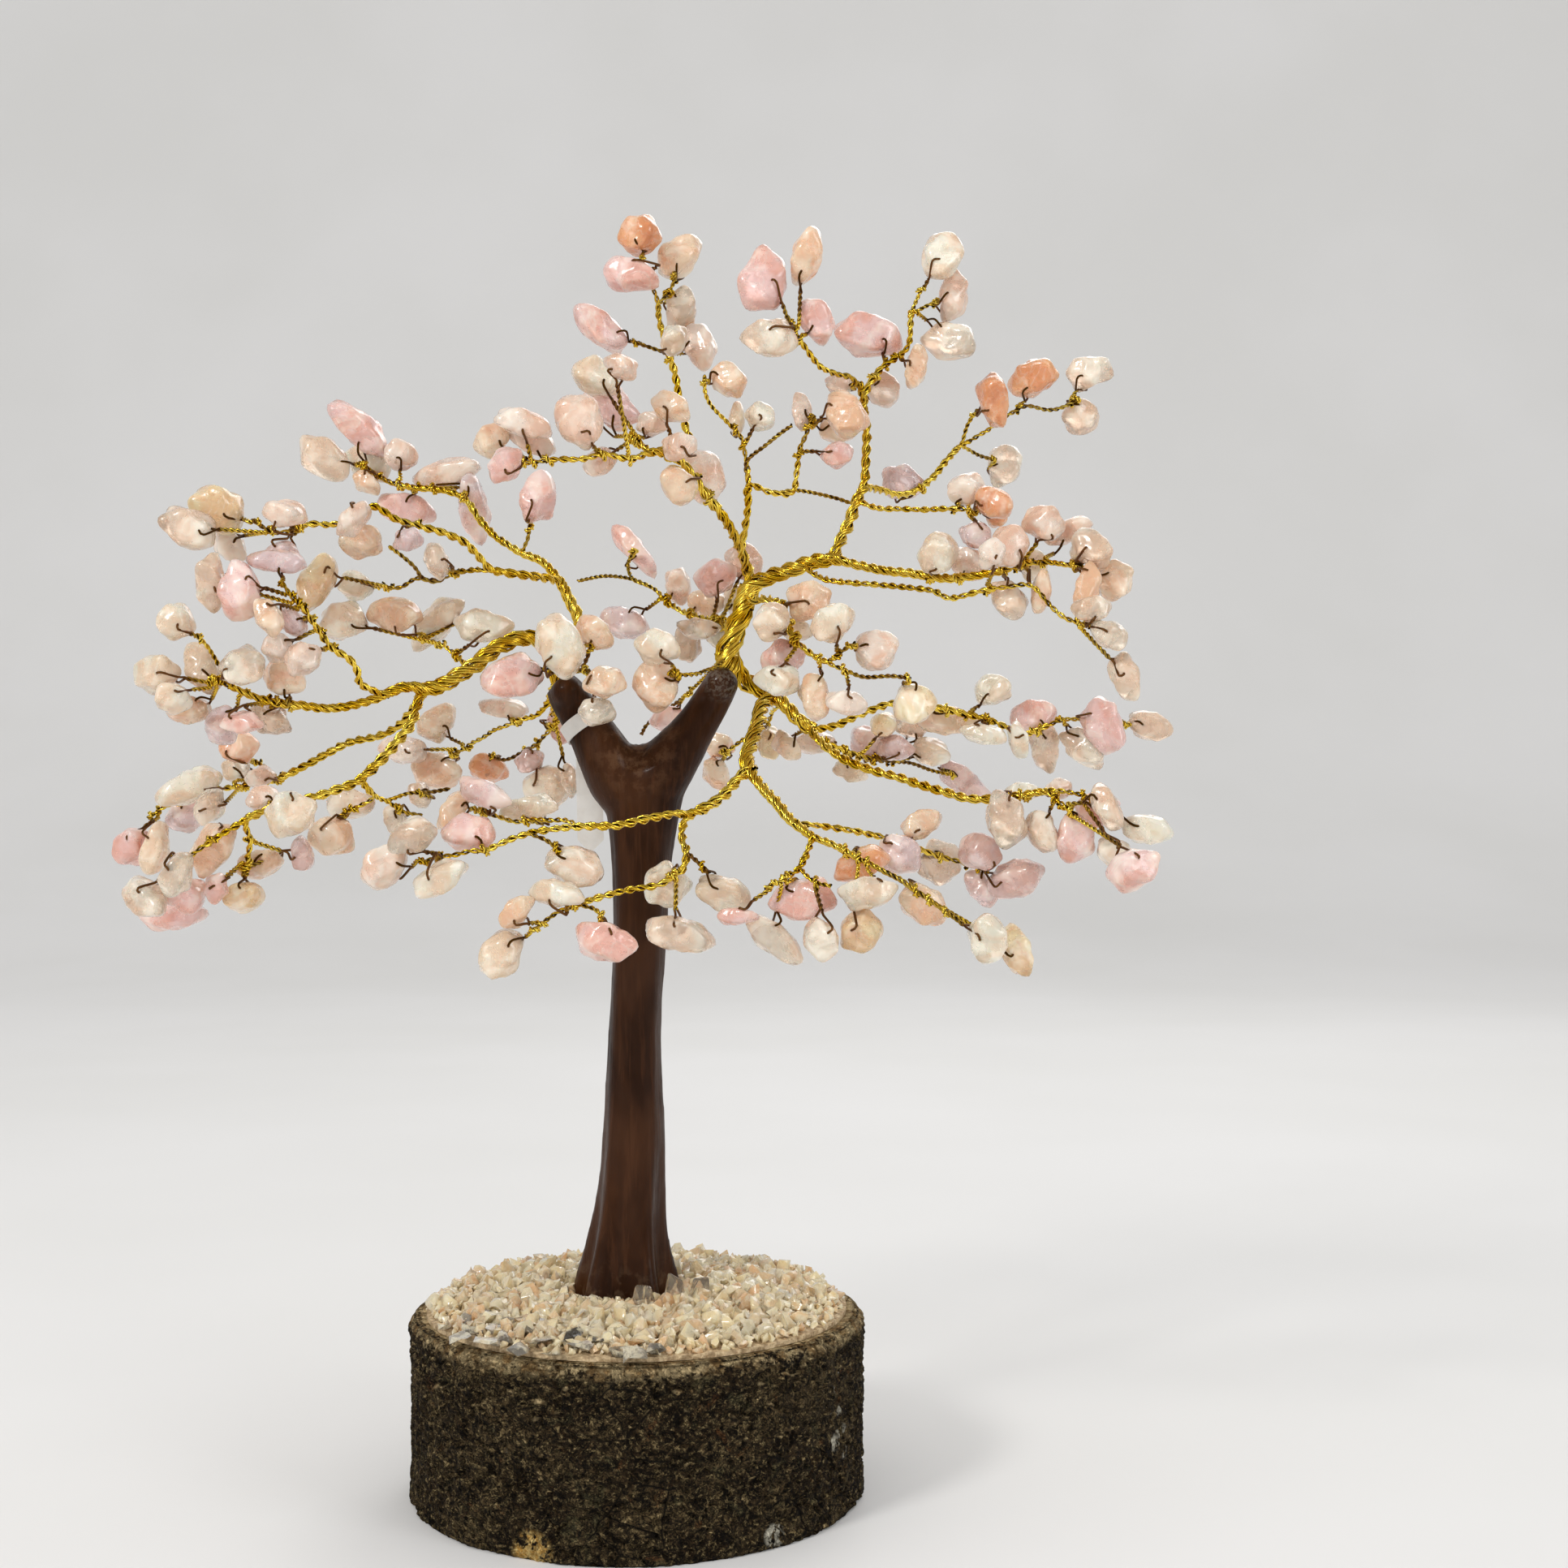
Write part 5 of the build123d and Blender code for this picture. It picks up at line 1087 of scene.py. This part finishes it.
def bundle(strands, run, own, most=None):
    """Lay the wires of a run: rings of wires twisted into two or three ropes, and these together.

    Wires end where the run thins, and its radius stays below what most gives for a place.
    """
    frames = run.frames()
    loads = run.mean_loads()
    radii = [bundle_radius(load) for load in loads]
    if most:
        radii = [min(radius, most(place)) for radius, place in zip(radii, run.line)]
    ropes = 3 if radii[0] > THREE_ROPES else 2
    share = ROPE_SHARES[ropes]
    counts, holds, lays, twists = [], [], [2 * math.pi * draw(own, 30)], [0.0]
    for radius in radii:
        hold = max(0, share * radius - WIRE / 2)
        holds.append(hold)
        counts.append(max(1, 2 * math.pi * hold * 0.9 / (1.06 * WIRE)))
        lays.append(lays[-1] + STEP * ROPE_LAY / max(radius * (1 - share), 0.18 * mm))
        twists.append(twists[-1] + STEP * WIRE_LAY / max(hold, WIRE / 2))
    for rope in range(ropes):
        for strand in range(math.ceil(max(counts) - 0.4)):
            points = []
            since = 1.0
            for number, (place, frame, radius) in enumerate(zip(run.line, frames, radii)):
                count = counts[number]
                if strand > count + 0.2 and points:
                    break
                since += STEP
                # Thick bundles turn slowly, so their wires need fewer places
                finest = (0.2 + 0.34 * (radius / WIRE - 1)) * mm
                if strand > count - 0.4 or since < finest and number < len(run.line) - 1:
                    continue
                since = 0.0
                wander = noise.noise(Vector((strand * 7.3 + own + rope * 31, number * STEP / mm / 6, 0.5)))
                out = twisted(frame, lays[number] + 2 * math.pi * rope / ropes)
                turn = twists[number] + 2 * math.pi * strand / max(count, strand + 1) + 0.5 * wander
                inner = twisted(frame, turn)
                centre = place + out * radius * (1 - share) + inner * holds[number] * (1 + 0.3 * wander)
                shade = 0.72 - 0.1 * loads[number] + 0.5 * noise.noise(place / mm / 18)
                points.append((centre, min(max(shade, 0.0), 0.8), (out + inner).normalized()))
            strands.add(points)


wire_look = Look("wire", Metallic=1.0)
rub = wire_look.noise(700, 4, 0.6)
dull = wire_look.ramp(wire_look.attribute("shade") + (rub - 0.5) * 0.6, 0.3, 0.9)
gold = wire_look.mix(wire_look.ramp(wire_look.noise(160, 3), 0.35, 0.65), colour(216, 174, 30),
                     colour(250, 220, 90))
wire_tone = wire_look.mix(dull, gold, colour(112, 76, 42))
# Painted shade: the side of each wire that faces into the bundle is darkened towards dark olive-brown, where
# the wires would shade each other.
wire_tone = wire_look.mix(wire_look.ramp(wire_look.attribute("hollow"), -0.1, 0.8), wire_tone,
                          colour(74, 48, 8))
wire_material = wire_look.finish(Base_Color=wire_tone, Roughness=wire_look.ramp(dull, 0, 1, 0.2, 0.42),
                                 Normal=wire_look.bump(rub, 0.04 * mm))

core = Strands("core_strands")
for number, run in enumerate(runs[:len(CORES)]):
    bundle(core, run, number, lambda place: TRUNK_CORE if place.z < CORE_WIDENS else TIP_CORE)
add_object("core_strands", core.mesh(), wire_material, ["armature"])

# Chips: tumbled quartz, drilled through. Each takes the flat faces of its solid, rounded off as a
# tumbler does, with slight hollows; a higher TUMBLING leaves sharper edges. Its pair of wires parts
# at its rim: one wire lies over the near face into the hole, the other goes round behind and into it
# from there. A tint is a colour, a share of rust stain, a clearness, and the pixels of the chips that
# have it. All chips further than TINT_REACH from those are pale.
TINTS = {
    "orange": (colour(246, 186, 136), 0.85, 0.15, (
        (788, 289), (1224, 493), (1272, 466), (1228, 633), (772, 820), (1060, 1065), (292, 918),
        (604, 947))),
    "peach": (colour(255, 226, 196), 0.32, 0.25, (
        (838, 314), (896, 466), (908, 515), (1030, 528), (992, 320), (1128, 454), (1374, 712),
        (1340, 725), (1282, 733), (838, 600), (824, 500), (607, 542), (450, 593), (447, 665),
        (330, 757), (352, 832), (236, 874), (482, 757), (540, 890), (535, 948), (317, 1064),
        (262, 1046), (192, 1044), (633, 1126), (808, 840), (868, 742), (884, 918), (884, 955),
        (970, 920), (998, 740), (1008, 805), (1004, 855), (1138, 1013), (1140, 1116), (561, 995),
        (733, 780), (745, 840), (408, 1030), (1166, 887))),
    "clear": (colour(252, 238, 218), 0.1, 0.7, (
        (840, 380), (948, 416), (1170, 420), (1338, 458), (1333, 513), (1238, 570), (1342, 672),
        (1348, 750), (1370, 783), (1386, 834), (400, 565), (236, 652), (538, 688), (260, 718),
        (330, 884), (302, 820), (258, 994), (178, 1104), (219, 1076), (432, 990), (517, 978),
        (488, 1012), (508, 1030), (733, 876), (847, 795), (862, 775), (702, 958), (712, 1068),
        (840, 1152), (958, 1160), (1013, 1160), (1286, 917), (1420, 895), (1362, 990), (1375, 1052),
        (1334, 920), (1125, 895), (1242, 738), (1240, 1008), (1282, 1020), (1160, 1064))),
    "white": (colour(255, 247, 228), 0.12, 0.35, (
        (830, 420), (939, 513), (1163, 312), (1155, 683), (1275, 695), (738, 465), (455, 568),
        (440, 722), (383, 742), (216, 764), (250, 822), (215, 860), (190, 830), (359, 1003),
        (238, 968), (425, 765), (537, 768), (595, 772), (290, 947), (538, 1084), (691, 799),
        (888, 785), (905, 745), (672, 972), (650, 997), (618, 1173), (818, 1092), (896, 1104),
        (1070, 1100), (1144, 925), (950, 767), (930, 798), (980, 777), (1028, 765), (1212, 904),
        (1221, 849), (1256, 915), (1262, 975), (1416, 1022), (1218, 1160), (1048, 950), (685, 1100),
        (812, 796), (958, 838))),
    "yellow": (colour(252, 232, 188), 0.45, 0.4, (
        (270, 630), (1128, 865), (393, 712), (302, 1104), (950, 918), (1060, 1148), (1252, 1172),
        (1090, 893))),
    "mauve": (colour(244, 220, 220), 0.1, 0.45, (
        (1112, 595), (1205, 660), (584, 628), (503, 665), (348, 682), (428, 700), (345, 692),
        (362, 768), (275, 893), (234, 1002), (373, 1055), (598, 978), (653, 937), (772, 768),
        (1070, 917), (1103, 922), (1187, 962), (1208, 1050), (1208, 1093), (1248, 1084),
        (1105, 1052))),
    "rose": (colour(255, 214, 208), 0.2, 0.25, (
        (773, 337), (743, 407), (1034, 560), (941, 345), (1007, 396), (1073, 413), (882, 712),
        (778, 672), (752, 500), (622, 573), (664, 612), (503, 628), (445, 530), (432, 690),
        (296, 728), (636, 833), (746, 1160), (988, 1108), (965, 812), (1275, 882), (1358, 888),
        (1325, 1032), (1350, 998), (1397, 1070), (582, 1026), (160, 1045), (232, 1104), (215, 1128),
        (266, 1094), (297, 890), (690, 897), (825, 884), (905, 1128))),
}
PALE = (colour(255, 232, 216), 0.18, 0.35)
TINT_REACH = 24
TUMBLING = 7
TUMBLED_SIZE = 1.21
PAIR_LAY = 1.9 * mm


def pixel(place):
    """Where a place shows in the photograph."""
    scale = FOCAL / (place.y - EYE.y)
    return Vector((PICTURE / 2 + (place.x - EYE.x) * scale, PICTURE / 2 - (place.z - EYE.z) * scale))


def tint_at(place):
    """Colour, stain and clearness of the chip that shows here in the photograph."""
    here = pixel(place)
    apart, tint = min(((here - Vector(spot)).length, tint[:3])
                      for tint in TINTS.values() for spot in tint[3])
    return tint if apart < TINT_REACH else PALE


class Chip:
    """One chip: its solid's corners, its faces' directions and distances, and its twig."""

    def __init__(self, number, corners):
        self.number = number
        self.places = [corner.co.copy() for corner in corners]
        solid = bmesh.new()
        made = [solid.verts.new(place) for place in self.places]
        bmesh.ops.convex_hull(solid, input=made)
        bmesh.ops.dissolve_limit(solid, angle_limit=0.05, verts=solid.verts, edges=solid.edges)
        solid.normal_update()
        self.middle = middle_of([vert for vert in solid.verts if vert.link_faces])
        self.faces = [(face.normal.copy(), (face.verts[0].co - self.middle).dot(face.normal))
                      for face in solid.faces]
        solid.free()
        self.twig = min(twigs, key=lambda twig: ((twig.bend + twig.end) / 2 - self.middle).length)

    def reach(self, direction):
        """How far the tumbled surface lies from the middle in a direction."""
        gauge = sum(max(0, normal.dot(direction) / distance) ** TUMBLING
                    for normal, distance in self.faces)
        return TUMBLED_SIZE * gauge ** (-1 / TUMBLING)

    def build(self, target, layers):
        """The tumbled stone, with its colour, stain and clearness at each corner."""
        tint, stain, clear = tint_at(self.middle)
        made = bmesh.ops.create_icosphere(target, subdivisions=4, radius=1)
        for vert in made["verts"]:
            direction = vert.co.normalized()
            seed = direction * 1.6 + Vector((self.number * 3.7, 0.5, 0.5))
            hollow = 0.16 * noise.noise(seed) + 0.03 * noise.noise(seed * 2.5)
            vert.co = self.middle + direction * self.reach(direction) * (1 + hollow)
            vert[layers["tint"]] = (*tint, 1)
            vert[layers["stain"]] = stain
            vert[layers["clear"]] = min(1, clear * (0.7 + 0.6 * draw(self.number, 40)))

    def wires(self, strands):
        """The chip's pair: twisted from the bundle to the rim, then over both faces into the hole."""
        twig = self.twig
        through = (twig.end - twig.bend).normalized()
        hole = twig.bend - through * (twig.bend - self.middle).dot(through)
        across = (twig.root - hole) - through * (twig.root - hole).dot(through)
        across.normalize()
        rim = max((place - hole).dot(across) for place in self.places)
        near = hole - through * (self.reach(-through) + 0.35 * WIRE)
        far = hole + through * (self.reach(through) + 0.35 * WIRE)
        edge = hole + across * (rim + 0.9 * WIRE)
        split = edge + (twig.root - edge) * min(0.2, 1.2 * mm / max((twig.root - edge).length, mm))
        pair = Run("pair", [*twig.winding(), twig.root, split])
        for strand in range(2):
            points = []
            for number, (place, frame) in enumerate(zip(pair.line, pair.frames())):
                out = twisted(frame, math.pi * strand + 2 * math.pi * number * STEP / PAIR_LAY + self.number)
                shade = 0.1 + 0.7 * number / len(pair.line) + 0.35 * noise.noise(place / mm / 6)
                points.append((place + out * WIRE / 2, min(max(shade, 0), 1), out))
            bow = across.cross(through) * (draw(self.number, 41 + strand) - 0.5) * 2.2 * mm
            if strand:
                tail = [near + across * rim * 0.6 + bow, near + across * rim * 0.15 + bow * 0.4,
                        near + through * 0.9 * mm]
            else:
                tail = [edge, far + across * rim * 0.5 + bow, far + across * rim * 0.15,
                        far - through * 0.9 * mm]
            for place in curve_through([points[-2][0], points[-1][0], *tail], 0.4 * mm)[2:]:
                points.append((place, 1.0, through))
            strands.add(points)


stone = Look("rose_quartz", IOR=1.5, Subsurface_Weight=0.5, Subsurface_Scale=2.5 * mm,
             Subsurface_Radius=(1.0, 0.8, 0.7), Transmission_Weight=0.12, Coat_Roughness=0.04)
tint = stone.attribute("tint", "Color")
stain = stone.attribute("stain")
cloud = stone.noise(170, 4, 0.6, 0.7)
vein = stone.lines(stone.noise(120, 4, 0.55, 1.8), 0.03)
fine = stone.noise(700, 4, 0.6)
deeper = stone.mix(1.0, tint, colour(246, 226, 212), "MULTIPLY")
tone = stone.mix(stone.ramp(stone.noise(110, 3, 0.5, 1.0), 0.42, 0.62), deeper, tint)
tone = stone.mix(stone.ramp(cloud, 0.46, 0.7) * 0.5, tone, colour(255, 244, 230))
tone = stone.mix(vein * 0.25, tone, colour(255, 250, 240))
rust = stone.ramp(stone.noise(150, 5, 0.65, 1.4), 0.52, 0.74) * stain
tone = stone.mix(rust, tone, colour(214, 134, 82))
specks = stone.ramp(stone.noise(420, 5, 0.6), 0.67, 0.75) * stain
tone = stone.mix(specks * 0.8, tone, colour(130, 70, 40))
relief = stone.bump(cloud + fine * 0.25 + vein * 0.1, 0.5 * mm, 0.38)
rough = stone.ramp(cloud + fine * 0.4, 0.45, 0.95, 0.16, 0.4)
stone.finish(Base_Color=tone, Roughness=rough, Coat_Weight=stone.ramp(cloud, 0.3, 0.7, 0.35, 0.8),
             Normal=relief)
cloudy = Value(stone, stone.shader.outputs[0])
glassy = stone.node("ShaderNodeBsdfPrincipled", None, {
    "Base_Color": stone.mix(0.25, tone, colour(255, 246, 240)), "Roughness": rough,
    "Transmission_Weight": 0.85, "IOR": 1.46, "Normal": relief, "Coat_Weight": 0.4})
seethrough = (stone.attribute("clear") * 0.85 + 0.12) * stone.ramp(cloud, 0.7, 0.4)
both = stone.node("ShaderNodeMixShader", None, {0: seethrough, 1: cloudy, 2: glassy})
stone.tree.links.new(both.socket, stone.output.inputs["Surface"])

chip_count = 0
for limb in ROUTES:
    strands = Strands(limb + "_strands")
    for number, run in enumerate(run for run in runs if run.limb == limb):
        bundle(strands, run, chip_count + number + 10)
    if limb + "_chips" in nodes:
        target = bmesh.new()
        layers = {"tint": target.verts.layers.float_color.new("tint"),
                  "stain": target.verts.layers.float.new("stain"),
                  "clear": target.verts.layers.float.new("clear")}
        whole, solids = islands(limb + "_chips")
        for corners in solids:
            chip_count += 1
            chip = Chip(chip_count, corners)
            chip.build(target, layers)
            chip.wires(strands)
        whole.free()
        mesh = stone_mesh(limb + "_stones", target)
        mesh.shade_smooth()
        add_object(limb + "_stones", mesh, stone.material, [limb + "_chips"])
    add_object(limb + "_strands", strands.mesh(), wire_material, [limb + "_wire"])
